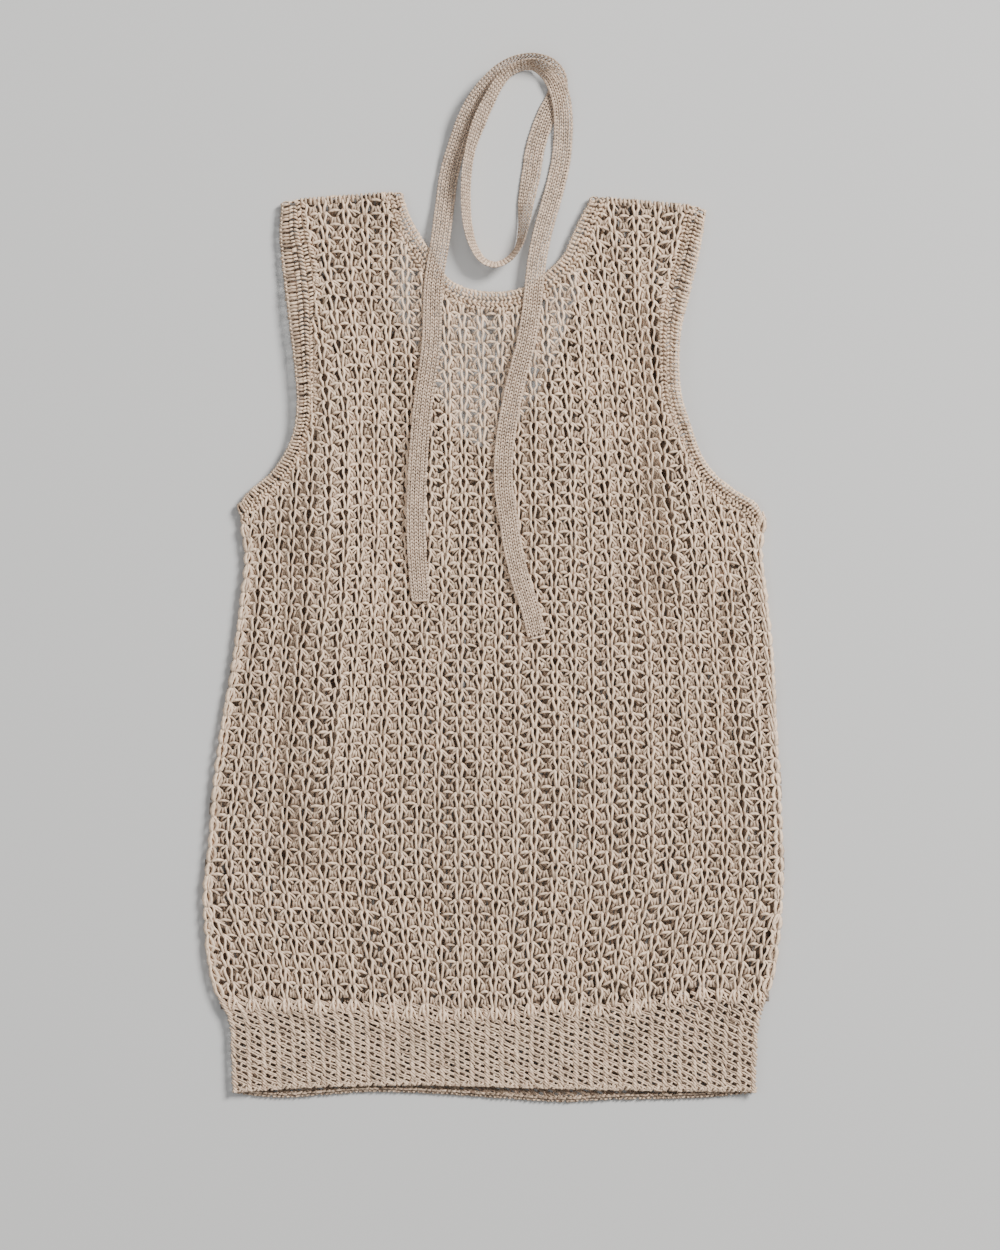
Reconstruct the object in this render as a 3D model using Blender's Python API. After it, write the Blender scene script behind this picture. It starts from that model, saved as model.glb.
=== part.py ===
"""Sleeveless sweater vest in a chunky openwork rib, laid flat, with its narrow knitted neck tie.

The back lies on the front. Each panel, hem rib, neckband, armhole band and the tie is a wall of
its own, about 0.3 mm from its neighbours. Heights h are measured up from the hem's lowest point,
and x from the centre line, both in millimetres. The frame's origin lies under the middle of the
whole outline: +X to the right, +Y towards the neck, +Z up from the surface.
"""

import math

import bmesh
import bpy
import numpy as np

OBJECT_NAME = "sweater_vest"
MM = 0.001

# Driving dimensions in millimetres
ORIGIN_H = 358.9  # height of the frame's origin above the hem
SEAM_GAP = 0.3
LOWER_WALL = 3.0  # front panel, under the back
UPPER_FLOOR = 2.2  # back wall between its ribs
RIB_RAISE = 1.0  # how far a rib of the body stands above that
HEM_RAISE = 0.9
EDGE_WALL = 1.4  # upper wall at the side seam, where it rounds over
LOWER_INSET = 0.8  # the lower layer stays this far inside the side seam
CHAINS = 31  # raised knit columns across the body
HEM_RIBS = 39
HEM_HALF = 0.26  # half width of a hem rib, in rib pitches
CHAIN_HALF = 0.22  # half width of a raised column, in column pitches
TOP_H = 640.0  # oversize top of the ribbed cloth before it is cut
CUT_REACH = 260.0  # how far to each side the shoulder cutters reach
CUT_LOW_H = 360.0  # and how far down, beside the underarms
CUT_DEPTH = (-5.0, 40.0)  # from under the vest to over its folds
ARM_RUN_ON = 40.0  # the armhole cut goes this far on past the underarm
LOWER_ARM_INSET = 2.0  # the front's armhole lies this far inside the back's
TIE_WIDTH = 12.3
TIE_THICK = 1.6
TIE_STEP = 9.0  # longest stretch between two sections of the tie
FOLD_ROOM = 0.8  # extra inner radius where a band folds over an edge
FOLD_ANGLES = (0, 60, 120, 180)  # degrees, from the upper layer over the edge to the lower

UPPER_BASE = LOWER_WALL + SEAM_GAP  # underside of the upper layer where no fold lifts it
MID_Z = LOWER_WALL + SEAM_GAP / 2
BAND_WALL = LOWER_WALL
FOLD_INSET = SEAM_GAP / 2 + FOLD_ROOM + BAND_WALL


def table(names, rows):
    """Rows of numbers as {column name: array}."""
    return dict(zip(names.split(), np.array(rows, float).T))


# Side seams, and above the underarms the lines that the knit columns would follow
SIDE = table(
    "h left right",
    (
        (0, -179, 180),
        (36, -180, 181),
        (58, -182, 183),
        (70, -188, 187),
        (84, -193, 191),
        (111, -197, 195.5),
        (140, -198.5, 198),
        (175, -195, 198),
        (220, -191.5, 196),
        (262, -185.5, 193.5),
        (303, -178.5, 191.5),
        (344, -173, 187.5),
        (378, -170.5, 184),
        (400, -174, 187),
        (450, -176, 187),
        (500, -175, 186),
        (560, -181, 180),
        (640, -188, 184),
    ),
)
# Where the knit columns 6, 9, 15, 21 and 24 run
COLUMNS = table(
    "h c6 c9 c15 c21 c24",
    (
        (60, -106, -70, 0, 71, 106),
        (94, -108.6, -71.8, 0.2, 72.1, 106.9),
        (140, -115, -77.5, 1.5, 78, 117),
        (259, -109.8, -75.8, 2.8, 81.3, 118.6),
        (363, -104, -70.5, 4, 78.6, 113.1),
        (485, -103.6, -69.2, 4.5, 72.4, 104),
        (560, -112, -73, 4.5, 63.8, 97.3),
        (620, -117, -73, 4.5, 49.3, 96.3),
    ),
)
COLUMN_KNOTS = (0, 6, 9, 15, 21, 24, CHAINS - 1)
# Heights at which the back's ribs have points
BACK_ROWS = (84, 100, 120, 145, 172, 200, 230, 260, 290, 320, 350, 376, 400, 425, 450, 475, 500,
             525, 550, 575, 605)
JUNCTION = table("x h", ((-195, 72), (-98, 66.5), (5, 64.5), (80, 68), (148, 75), (195, 76)))
BACK_HEM = table("x h", ((-182, 7), (-120, 11), (-45, 12.3), (60, 9.5), (182, 7.5)))
FRONT_HEM = table(
    "x h",
    (
        (-182, 7.5), (-155, 4), (-83, 7.5), (-43, 6.5), (11, 2.7),
        (46, 0.6), (80, 2), (149, 4), (182, 7),
    ),
)
# Armhole bands, underarm to shoulder: the free edge, then the edge at the panel
LEFT_ARM = table(
    "free_x free_h panel_x panel_h",
    (
        (-176.5, 409, -171.6, 394),
        (-166, 419, -158, 410),
        (-153, 429.5, -144.5, 420.5),
        (-145, 440, -134.6, 433),
        (-139.5, 450, -128, 445.4),
        (-136, 460.5, -124, 458),
        (-134, 481, -121, 481),
        (-135.5, 501.5, -121, 503),
        (-138, 522, -120.2, 524),
        (-142, 552, -119.5, 554),
        (-144.5, 575, -122, 576),
        (-146, 594, -127, 595),
        (-145.5, 616, -130.5, 618.5),
    ),
)
RIGHT_ARM = table(
    "free_x free_h panel_x panel_h",
    (
        (187.3, 400, 184, 385),
        (180, 409, 172, 399.5),
        (165, 419, 157.5, 409.3),
        (151.7, 429.5, 143, 420.6),
        (143.5, 440, 133.2, 433.2),
        (138.7, 450, 127.3, 445.6),
        (135.3, 460.3, 123.6, 456.6),
        (128.4, 481, 115.7, 479),
        (126.4, 511.7, 113.4, 511.7),
        (128.4, 532.2, 113.6, 535),
        (134, 553, 116.7, 557),
        (138.7, 573, 122.6, 576.5),
        (142.8, 594, 128.7, 596.5),
        (145.6, 611, 133.2, 614.4),
    ),
)
# Neckband, left shoulder to right shoulder, on the back and then on the front
BACK_NECK = table(
    "free_x free_h panel_x panel_h",
    (
        (-62, 622.7, -74.3, 622.7),
        (-56.5, 604.2, -68, 600),
        (-51, 594, -61.6, 587.6),
        (-43.5, 582.2, -53.8, 575.3),
        (-29.8, 562.4, -38.3, 553.5),
        (-16.1, 556.2, -19.7, 544.6),
        (-2.4, 554.2, -3, 541.8),
        (11.3, 555, 13.4, 542.5),
        (25, 559, 31, 548),
        (38.7, 570, 47, 561),
        (48.3, 580.2, 58.6, 573.3),
        (53.8, 592.5, 65, 587.3),
        (59.3, 604.2, 70.5, 599),
        (66.1, 620, 78.4, 619.2),
    ),
)
FRONT_NECK = table(
    "free_x free_h panel_x panel_h",
    (
        (-62, 622.7, -74.3, 622.7),
        (-65.4, 597.3, -77.7, 598.7),
        (-69.5, 573.3, -82, 574.7),
        (-71, 549.4, -83, 546.3),
        (-60.6, 528.8, -71.6, 523),
        (-36.6, 481, -47.6, 475),
        (-23, 459, -32.2, 450.4),
        (-8, 448, -12, 436),
        (8, 453.5, 14, 442.5),
        (28.4, 481, 39, 474),
        (45.6, 515, 57.2, 510),
        (57.2, 549.4, 69.3, 546.6),
        (62, 576.8, 74.3, 575.7),
        (66.1, 620, 78.4, 619.2),
    ),
)
# Soft folds of the back: a ridge from its lower to its upper end
FOLDS = table(
    "x_low h_low x_high h_high half_width rise",
    (
        (-104, 175, -104, 515, 15, 5.0),
        (-156, 170, -152, 395, 13, 2.0),
        (143, 345, 133, 425, 11, 3.5),
        (131, 400, 127, 560, 11, 3.0),
        (172, 150, 168, 370, 13, 1.8),
        (46, 340, 44, 535, 16, 2.2),
        (-20, 110, -10, 300, 26, 1.4),
        (88, 95, 96, 330, 22, 1.6),
    ),
)
# A band's thickness across its width, from the free edge (0) to the panel (1)
BAND_PROFILE = table(
    "across upper lower",
    ((0, 1.7, 3.0), (0.1, 2.8, 3.0), (0.38, 2.5, 3.0), (0.68, 3.2, 3.0), (1, 2.5, 3.0)),
)
# The tie from its left end to its right one. tilt turns it on edge, on_cloth says how far it
# has climbed from the surface onto the vest, and over is its height where it crosses itself.
TIE = table(
    "x h tilt on_cloth over",
    (
        (-49.7, 343, 0, 1, 0),
        (-52.7, 385, 0, 1, 0),
        (-51.7, 433, 0, 1, 0),
        (-47.6, 481, 0, 1, 0),
        (-42.8, 514.5, 0, 1, 0),
        (-40.4, 564.5, 0, 1, 0),
        (-36.8, 586, 0, 1, 0),
        (-33.5, 612, 3, 0.4, 0),
        (-29.8, 638, 10, 0, 0),
        (-23.6, 659, 22, 0, 0),
        (-19.0, 673, 35, 0, 0),
        (-12.7, 685.7, 42, 0, 0),
        (-3.8, 697.5, 48, 0, 0),
        (7.9, 707.9, 50, 0, 0),
        (20.2, 712.4, 52, 0, 0),
        (30.5, 712, 48, 0, 0),
        (38.5, 708.2, 32, 0, 0),
        (43.4, 702, 15, 0, 0),
        (44.2, 694, 4, 0, 0),
        (42, 686.5, 0, 0, 0),
        (37.6, 678.5, 0, 0, 0),
        (33.2, 668, 0, 0, 0),
        (28.6, 653, 0, 0, 0),
        (25.6, 634, 8, 0, 0),
        (22.4, 616, 32, 0, 0),
        (20.4, 598, 58, 0, 0),
        (16.6, 584, 70, 0, 0),
        (9.2, 575.6, 68, 0, 0),
        (0.6, 572.7, 66, 0, 0),
        (-7.2, 575.8, 66, 0, 0),
        (-13, 584, 65, 0, 0),
        (-17.2, 598, 62, 0, 0),
        (-18.9, 616, 60, 0, 0),
        (-18.3, 635, 60, 0, 0),
        (-15.4, 653, 60, 0, 0),
        (-10.2, 669, 48, 0, 0),
        (-3.3, 684, 48, 0, 0),
        (3.6, 696, 55, 0, 0),
        (11.3, 704, 60, 0, 0),
        (20.2, 708, 60, 0, 0),
        (28, 708.6, 57, 0, 0.2),
        (34.4, 706.2, 42, 0, 1.2),
        (39.6, 701.5, 24, 0, 2.4),
        (43.4, 695, 8, 0, 2.6),
        (46, 687, 0, 0, 2.6),
        (47.6, 675, 0, 0, 2.2),
        (47.6, 661, 0, 0, 0.8),
        (46.6, 648, 0, 0, 0),
        (43.1, 630, 0, 0, 0),
        (38.6, 613.5, 0, 0.25, 0),
        (33.4, 594, 0, 0.8, 0),
        (29.6, 575, 0, 1, 0),
        (27.8, 559, 0, 1, 0),
        (25.8, 540.5, 0, 1, 0),
        (21.9, 518, 0, 1, 0),
        (15.9, 495, 0, 1, 0),
        (11.3, 473, 0, 1, 0),
        (7.7, 450, 0, 1, 0),
        (6.6, 427, 0, 1, 0),
        (10.4, 397, 0, 1, 0),
        (13.8, 377, 0, 1, 0),
        (18.6, 357, 0, 1, 0),
        (25.3, 337, 0, 1, 0),
        (30, 318, 0, 1, 0),
    ),
)
YARN = (0.434, 0.352, 0.287)  # warm greige, linear
FINISH = table(
    "tone roughness",
    ((1.0, 0.85), (0.97, 0.85), (1.02, 0.85), (0.97, 0.85), (1.03, 0.8), (1.05, 0.8), (1.1, 0.75)),
)
FINISH_ROWS = {
    "back_panel": 0,
    "front_panel": 1,
    "back_hem_rib": 2,
    "front_hem_rib": 3,
    "armhole_band_left": 4,
    "armhole_band_right": 4,
    "neckband": 5,
    "neck_tie": 6,
}


def smooth_step(t):
    """0 below 0, 1 above 1 and an S curve between."""
    t = np.clip(t, 0.0, 1.0)
    return t * t * (3 - 2 * t)


def curve_at(xs, ys, x):
    """Cubic curve through the points (xs, ys), read at x."""
    xs, ys, x = np.asarray(xs, float), np.asarray(ys, float), np.asarray(x, float)
    slopes = np.gradient(ys, xs)
    x = np.clip(x, xs[0], xs[-1])
    i = np.clip(np.searchsorted(xs, x, side="right") - 1, 0, len(xs) - 2)
    width = xs[i + 1] - xs[i]
    t = (x - xs[i]) / width
    rise = ys[i + 1] - ys[i]
    a, b = slopes[i] * width, slopes[i + 1] * width
    return ys[i] + t * a + t * t * (3 * rise - 2 * a - b) + t**3 * (a + b - 2 * rise)


def side_x(h):
    """Left and right side seam at height h."""
    return curve_at(SIDE["h"], SIDE["left"], h), curve_at(SIDE["h"], SIDE["right"], h)


def chain_x(u, h):
    """x of knit column u (0 at the left seam to CHAINS - 1 at the right one) at height h."""
    left, right = side_x(h)
    pitch = (right - left) / (CHAINS - 0.5)
    inner = [curve_at(COLUMNS["h"], COLUMNS[c], h) for c in ("c6", "c9", "c15", "c21", "c24")]
    knots = [left + 0.25 * pitch, *inner, right - 0.25 * pitch]
    if u < 0:
        return knots[0] + u * pitch
    if u > CHAINS - 1:
        return knots[-1] + (u - CHAINS + 1) * pitch
    return float(np.interp(u, COLUMN_KNOTS, knots))


def fold_lift(x, h):
    """How far the folds lift the back off the front at (x, h)."""
    lift = 0.0
    for i in range(len(FOLDS["rise"])):
        low = np.array((FOLDS["x_low"][i], FOLDS["h_low"][i]))
        high = np.array((FOLDS["x_high"][i], FOLDS["h_high"][i]))
        way = high - low
        along = float(np.dot((x - low[0], h - low[1]), way) / np.dot(way, way))
        off = abs((x - low[0]) * way[1] - (h - low[1]) * way[0]) / np.linalg.norm(way)
        ends = smooth_step(along / 0.25) * smooth_step((1 - along) / 0.25)
        lift += FOLDS["rise"][i] * ends * math.exp(-((off / FOLDS["half_width"][i]) ** 2))
    left, right = side_x(h)
    seam = smooth_step(min(x - left, right - x) / 22)
    return float(lift * seam * smooth_step((h - 72) / 45) * smooth_step((600 - h) / 60))


def end_way(free, panel, beside_free):
    """Unit vector out of a band's end, square to its edge and away from the row beside it."""
    across = panel - free
    way = np.array((-across[1], across[0])) / np.linalg.norm(across)
    return way if np.dot(way, free - beside_free) > 0 else -way


def band_lines(band):
    """A band's free edge and panel edge, with the ways out of its first and last end.

    Both ends are drawn back by FOLD_INSET, so that the wall folded over them reaches the table's
    own end points.
    """
    free = np.stack((band["free_x"], band["free_h"]), 1)
    panel = np.stack((band["panel_x"], band["panel_h"]), 1)
    ways = [end_way(free[0], panel[0], free[1]), end_way(free[-1], panel[-1], free[-2])]
    for end, way in zip((0, -1), ways):
        free[end] -= way * FOLD_INSET
        panel[end] -= way * FOLD_INSET
    return free, panel, ways


def to_frame(x, h, z):
    """A point in metres in the object's frame."""
    return (x * MM, (h - ORIGIN_H) * MM, z * MM)


def new_object(name, mesh, collection):
    """An object in the collection, with its own material."""
    obj = bpy.data.objects.new(name, mesh)
    collection.objects.link(obj)
    if name in FINISH_ROWS:
        row = FINISH_ROWS[name]
        material = bpy.data.materials.new(name + "_yarn")
        material.use_nodes = True
        shader = material.node_tree.nodes["Principled BSDF"]
        tone = FINISH["tone"][row]
        shader.inputs["Base Color"].default_value = (*(tone * c for c in YARN), 1)
        shader.inputs["Roughness"].default_value = FINISH["roughness"][row]
        shader.inputs["Metallic"].default_value = 0
        mesh.materials.append(material)
    return obj


def mesh_from(name, points, faces):
    """A mesh whose faces all point out."""
    mesh = bpy.data.meshes.new(name)
    mesh.from_pydata([tuple(p) for p in points], [], faces)
    bm = bmesh.new()
    bm.from_mesh(mesh)
    bmesh.ops.recalc_face_normals(bm, faces=bm.faces)
    bm.to_mesh(mesh)
    bm.free()
    return mesh


def prism(name, outline, low_z, high_z, collection):
    """A flat outline of (x, h) points as a plate from low_z to high_z, in a closed mesh."""
    curve = bpy.data.curves.new(name, "CURVE")
    curve.dimensions = "2D"
    curve.fill_mode = "BOTH"
    curve.extrude = (high_z - low_z) / 2 * MM
    spline = curve.splines.new("POLY")
    spline.points.add(len(outline) - 1)
    for point, (x, h) in zip(spline.points, outline):
        point.co = (x * MM, (h - ORIGIN_H) * MM, 0, 1)
    spline.use_cyclic_u = True
    guide = bpy.data.objects.new(name + "_outline", curve)
    collection.objects.link(guide)
    bpy.context.view_layer.update()
    depsgraph = bpy.context.evaluated_depsgraph_get()
    mesh = bpy.data.meshes.new_from_object(guide.evaluated_get(depsgraph))
    bpy.data.objects.remove(guide)
    bm = bmesh.new()
    bm.from_mesh(mesh)
    bmesh.ops.remove_doubles(bm, verts=bm.verts, dist=0.00001)
    bmesh.ops.translate(bm, verts=bm.verts, vec=(0, 0, (low_z + high_z) / 2 * MM))
    bmesh.ops.recalc_face_normals(bm, faces=bm.faces)
    bm.to_mesh(mesh)
    bm.free()
    return new_object(name, mesh, collection)


def ribbed_wall(name, rows, columns, under_columns, place, collection):
    """A wall whose ribs stand on its top over a plain underside.

    columns is [(u, thickness)], under_columns the indices of the ones that the underside has,
    and place(row, u) gives x, h and the underside's z.
    """
    points, faces = [], []
    wide, plain = len(columns), len(under_columns)
    for row in range(rows):
        for u, thick in columns:
            x, h, z = place(row, u)
            points.append(to_frame(x, h, z + thick))
    first_under = len(points)
    for row in range(rows):
        for i in under_columns:
            points.append(to_frame(*place(row, columns[i][0])))
    for row in range(rows - 1):
        for i in range(wide - 1):
            a = row * wide + i
            faces.append((a, a + 1, a + wide + 1, a + wide))
        for j in range(plain - 1):
            a = first_under + row * plain + j
            faces.append((a, a + plain, a + plain + 1, a + 1))
        for i, j in ((0, 0), (wide - 1, plain - 1)):
            top, under = row * wide + i, first_under + row * plain + j
            faces.append((top, top + wide, under + plain, under))
    for row in (0, rows - 1):
        for j in range(plain - 1):
            low = [first_under + row * plain + j, first_under + row * plain + j + 1]
            high = [row * wide + i for i in range(under_columns[j], under_columns[j + 1] + 1)]
            faces.append((*low, *reversed(high)))
    return new_object(name, mesh_from(name, points, faces), collection)


def rib_columns(count, half, floor, crest):
    """(u, thickness) across raised columns 0 to count - 1, with rounded outer edges."""
    columns = [(-0.25, EDGE_WALL), (-0.12, 0.6 * (floor + crest)), (half, crest)]
    for k in range(1, count):
        columns += [(k - 0.5, floor), (k - half, crest), (k + half, crest)]
    last = count - 1
    columns[-1] = (last + 0.12, 0.6 * (floor + crest))
    columns.append((last + 0.25, EDGE_WALL))
    under = [0, *(i for i, (u, _) in enumerate(columns) if u % 1 == 0.5), len(columns) - 1]
    return columns, under


def panel_cut(band, start, end):
    """The panel's edge along a band, SEAM_GAP away from it, drawn on past its two ends."""
    free, panel, ways = band_lines(band)
    line = []
    for i in range(len(panel)):
        along = panel[min(i + 1, len(panel) - 1)] - panel[max(i - 1, 0)]
        normal = np.array((-along[1], along[0])) / np.linalg.norm(along)
        if np.dot(normal, panel[i] - free[i]) < 0:
            normal = -normal
        line.append(panel[i] + normal * SEAM_GAP * 1.1)
    return [line[0] + ways[0] * start, *line, line[-1] + ways[1] * end]


def shoulder_cut(left_arm, neck, right_arm):
    """Everything outside a panel above its underarms, as one closed outline.

    It runs up the left armhole, round the neck, down the right armhole and back over the top.
    """
    left = panel_cut(left_arm, ARM_RUN_ON, FOLD_INSET)
    right = panel_cut(right_arm, ARM_RUN_ON, FOLD_INSET)[::-1]
    middle = panel_cut(neck, FOLD_INSET, FOLD_INSET)
    far, over = CUT_REACH, TOP_H + ARM_RUN_ON
    return [*left, *middle, *right, (far, CUT_LOW_H), (far, over), (-far, over), (-far, CUT_LOW_H)]


def trimmed(points, least=0.05):
    """The outline without points that lie on each other."""
    kept = [points[0]]
    for point in points[1:]:
        if np.hypot(point[0] - kept[-1][0], point[1] - kept[-1][1]) > least:
            kept.append(point)
    return kept


def cut_with(obj, cutter):
    """Takes the cutter out of the object for good."""
    cutter.hide_render = True
    cutter.display_type = "WIRE"
    boolean = obj.modifiers.new("cut", "BOOLEAN")
    boolean.operation = "DIFFERENCE"
    boolean.solver = "EXACT"
    boolean.object = cutter


def make_back_panel(parts, cutters):
    """The upper layer: raised knit columns over a plain inside, lifted by the folds."""
    heights = (JUNCTION["h"].mean(), *BACK_ROWS, TOP_H)

    def place(row, u):
        h = heights[row]
        x = chain_x(u, h)
        if row == 0:
            h = curve_at(JUNCTION["x"], JUNCTION["h"], x) + SEAM_GAP / 2
            x = chain_x(u, h)
        return x, h, UPPER_BASE + fold_lift(x, h)

    columns, under = rib_columns(CHAINS, CHAIN_HALF, UPPER_FLOOR, UPPER_FLOOR + RIB_RAISE)
    panel = ribbed_wall("back_panel", len(heights), columns, under, place, parts)
    outline = trimmed(shoulder_cut(LEFT_ARM, BACK_NECK, RIGHT_ARM))
    cut_with(panel, prism("back_cut", outline, *CUT_DEPTH, cutters))


def make_front_panel(parts, cutters):
    """The lower layer: a plain wall, flat where it rests."""
    heights = np.concatenate(((70.0,), np.arange(84, 400, 20), (430.0,)))
    left, right = side_x(heights)
    left, right = left + LOWER_INSET, right - LOWER_INSET
    edge = [
        (x, curve_at(JUNCTION["x"], JUNCTION["h"], x) + SEAM_GAP / 2)
        for x in np.linspace(left[0], right[0], 13)
    ]
    right_side = list(zip(right[1:], heights[1:]))
    left_side = list(zip(left[1:], heights[1:]))[::-1]
    outline = [*edge, *right_side, (right[-1], TOP_H), (left[-1], TOP_H), *left_side]
    panel = prism("front_panel", outline, 0, LOWER_WALL, parts)
    arms = lower_arm(LEFT_ARM), lower_arm(RIGHT_ARM)
    outline = trimmed(shoulder_cut(arms[0], FRONT_NECK, arms[1]))
    cut_with(panel, prism("front_cut", outline, *CUT_DEPTH, cutters))


def make_hem_ribs(parts):
    """The ribbed hem of the back, and the plain one of the front that shows just below it."""
    levels = (0.0, 0.3, 0.65, 1.0)

    def place(row, u):
        across = (u + 0.25) / (HEM_RIBS - 0.5)
        h = 40.0
        for _ in range(3):
            left, right = side_x(h)
            x = left + (right - left) * across
            low = curve_at(BACK_HEM["x"], BACK_HEM["h"], x)
            high = curve_at(JUNCTION["x"], JUNCTION["h"], x) - SEAM_GAP / 2
            h = low + (high - low) * levels[row]
        return x, h, UPPER_BASE

    columns, under = rib_columns(HEM_RIBS, HEM_HALF, UPPER_FLOOR, UPPER_FLOOR + HEM_RAISE)
    ribbed_wall("back_hem_rib", len(levels), columns, under, place, parts)

    heights = np.array((15.0, 36, 58))
    left, right = side_x(heights)
    left, right = left + LOWER_INSET, right - LOWER_INSET
    low = [
        (x, float(curve_at(FRONT_HEM["x"], FRONT_HEM["h"], x)))
        for x in np.linspace(left[0], right[0], 25)
    ]
    high_left, high_right = side_x(70.0)
    high = [
        (x, float(curve_at(JUNCTION["x"], JUNCTION["h"], x)) - SEAM_GAP / 2)
        for x in np.linspace(high_left + LOWER_INSET, high_right - LOWER_INSET, 13)
    ]
    outline = [*low, *zip(right, heights), *reversed(high), *list(zip(left, heights))[::-1]]
    prism("front_hem_rib", trimmed(outline), 0, LOWER_WALL, parts)


def band_section(free, panel, way, angle, lift):
    """One section of a band, as points round it.

    angle turns the wall's outward side from straight up, over the edge along way, to straight
    down, and lift raises it with the cloth.
    """
    turn = math.radians(angle)
    lower = angle / 180
    room = FOLD_ROOM * math.sin(turn)
    across = BAND_PROFILE["across"]
    thick = BAND_PROFILE["upper"] * (1 - lower) + BAND_PROFILE["lower"] * lower
    ring = [(0.0, 0.0), (1.0, 0.0), *zip(across[::-1], thick[::-1])]
    points = []
    for share, out in ring:
        flat = free + (panel - free) * share
        reach = SEAM_GAP / 2 + out
        flat = flat + way * (reach * math.sin(turn) + room)
        points.append(to_frame(flat[0], flat[1], MID_Z + lift + reach * math.cos(turn)))
    return points


def folded_band(name, upper, lower, parts):
    """A band sewn all round an opening: along the back, over the edge and along the front."""
    sections = []
    free, panel, ways = band_lines(upper)
    last = len(free) - 1
    for i in range(last + 1):
        lift = 0.0 if i in (0, last) else fold_lift(*(free[i] + panel[i]) / 2)
        sections.append(band_section(free[i], panel[i], ways[1], 0, lift))
    for turn in FOLD_ANGLES[1:-1]:
        sections.append(band_section(free[last], panel[last], ways[1], turn, 0))
    under_free, under_panel, _ = band_lines(lower)
    under_free[0], under_panel[0] = free[0], panel[0]
    under_free[-1], under_panel[-1] = free[last], panel[last]
    for i in range(len(under_free) - 1, -1, -1):
        sections.append(band_section(under_free[i], under_panel[i], ways[0], 180, 0))
    for turn in FOLD_ANGLES[-2:0:-1]:
        sections.append(band_section(free[0], panel[0], ways[0], turn, 0))
    count = len(sections[0])
    points = [p for section in sections for p in section]
    faces = []
    for s in range(len(sections)):
        after = (s + 1) % len(sections)
        for i in range(count):
            j = (i + 1) % count
            faces.append((s * count + i, s * count + j, after * count + j, after * count + i))
    new_object(name, mesh_from(name, points, faces), parts)


def lower_arm(band):
    """The front's armhole: the back's, a little further in, so that it stays hidden."""
    moved = {key: values.copy() for key, values in band.items()}
    towards = 1 if band["free_x"][0] < 0 else -1
    for key in ("free_x", "panel_x"):
        moved[key][1:-1] += towards * LOWER_ARM_INSET
    for key in ("free_h", "panel_h"):
        moved[key][1:4] -= LOWER_ARM_INSET / 2
    return moved


def tie_sections():
    """Sections of the tie, as four points each, along a smooth curve through its table."""
    steps = np.hypot(np.diff(TIE["x"]), np.diff(TIE["h"]))
    along = np.concatenate(((0.0,), np.cumsum(steps)))
    stations = [0.0]
    for a, b in zip(along[:-1], along[1:]):
        parts = max(1, math.ceil((b - a) / TIE_STEP))
        stations += [a + (b - a) * (k + 1) / parts for k in range(parts)]
    read = {key: curve_at(along, TIE[key], stations) for key in ("x", "h")}
    for key in ("tilt", "on_cloth", "over"):
        read[key] = np.interp(stations, along, TIE[key])
    ahead_x = curve_at(along, TIE["x"], np.array(stations) + 0.5)
    ahead_h = curve_at(along, TIE["h"], np.array(stations) + 0.5)
    back_x = curve_at(along, TIE["x"], np.array(stations) - 0.5)
    back_h = curve_at(along, TIE["h"], np.array(stations) - 0.5)
    heading = np.stack((ahead_x - back_x, ahead_h - back_h), 1)
    heading /= np.linalg.norm(heading, axis=1)[:, None]
    sections = []
    for i in range(len(stations)):
        x, h = read["x"][i], read["h"][i]
        outward = np.array((-heading[i][1], heading[i][0]))
        tilt = math.radians(read["tilt"][i])
        across = (*(outward * math.cos(tilt)), math.sin(tilt))
        face = (*(-outward * math.sin(tilt)), math.cos(tilt))
        half = TIE_WIDTH / 2
        lifts = [fold_lift(*(np.array((x, h)) + outward * half * s)) for s in (-1, 0, 1)]
        cloth = UPPER_BASE + UPPER_FLOOR + RIB_RAISE + max(lifts) + SEAM_GAP
        low = read["on_cloth"][i] * cloth + read["over"][i]
        z = low + half * math.sin(tilt) + TIE_THICK / 2 * math.cos(tilt)
        section = []
        for a, b in ((-1, -1), (1, -1), (1, 1), (-1, 1)):
            offset = [a * half * across[k] + b * TIE_THICK / 2 * face[k] for k in range(3)]
            section.append(to_frame(x + offset[0], h + offset[1], z + offset[2]))
        sections.append(section)
    return sections


def make_tie(parts):
    """The narrow knitted tie with its turn above the neck and two free ends."""
    sections = tie_sections()
    points = [p for section in sections for p in section]
    faces = [(0, 1, 2, 3)]
    for s in range(len(sections) - 1):
        for i in range(4):
            j = (i + 1) % 4
            faces.append((4 * s + i, 4 * s + j, 4 * s + 4 + j, 4 * s + 4 + i))
    end = 4 * (len(sections) - 1)
    faces.append((end + 3, end + 2, end + 1, end))
    new_object("neck_tie", mesh_from("neck_tie", points, faces), parts)


def clear_scene():
    """Removes what the file held before."""
    for obj in list(bpy.data.objects):
        bpy.data.objects.remove(obj)


def new_collection(name):
    """A collection in the scene."""
    collection = bpy.data.collections.new(name)
    bpy.context.scene.collection.children.link(collection)
    return collection


def main():
    """Builds every sub-part."""
    clear_scene()
    parts = new_collection(OBJECT_NAME)
    cutters = new_collection("cutters")
    make_front_panel(parts, cutters)
    make_back_panel(parts, cutters)
    make_hem_ribs(parts)
    folded_band("armhole_band_left", LEFT_ARM, lower_arm(LEFT_ARM), parts)
    folded_band("armhole_band_right", RIGHT_ARM, lower_arm(RIGHT_ARM), parts)
    folded_band("neckband", BACK_NECK, FRONT_NECK, parts)
    make_tie(parts)


main()
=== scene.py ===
"""Dresses the openwork sweater vest, laid flat, in its yarn.

Every knitted piece is built strand by strand on the outline that the solids have: the panels'
openwork columns, the ribbed hem, the bands round the neck and armholes and the narrow tie.
Sizes are in millimetres until a mesh is made. Heights h are measured up from the hem's lowest
point and x from the centre line.
"""

import logging
import math
from dataclasses import dataclass, field
from enum import Enum

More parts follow.
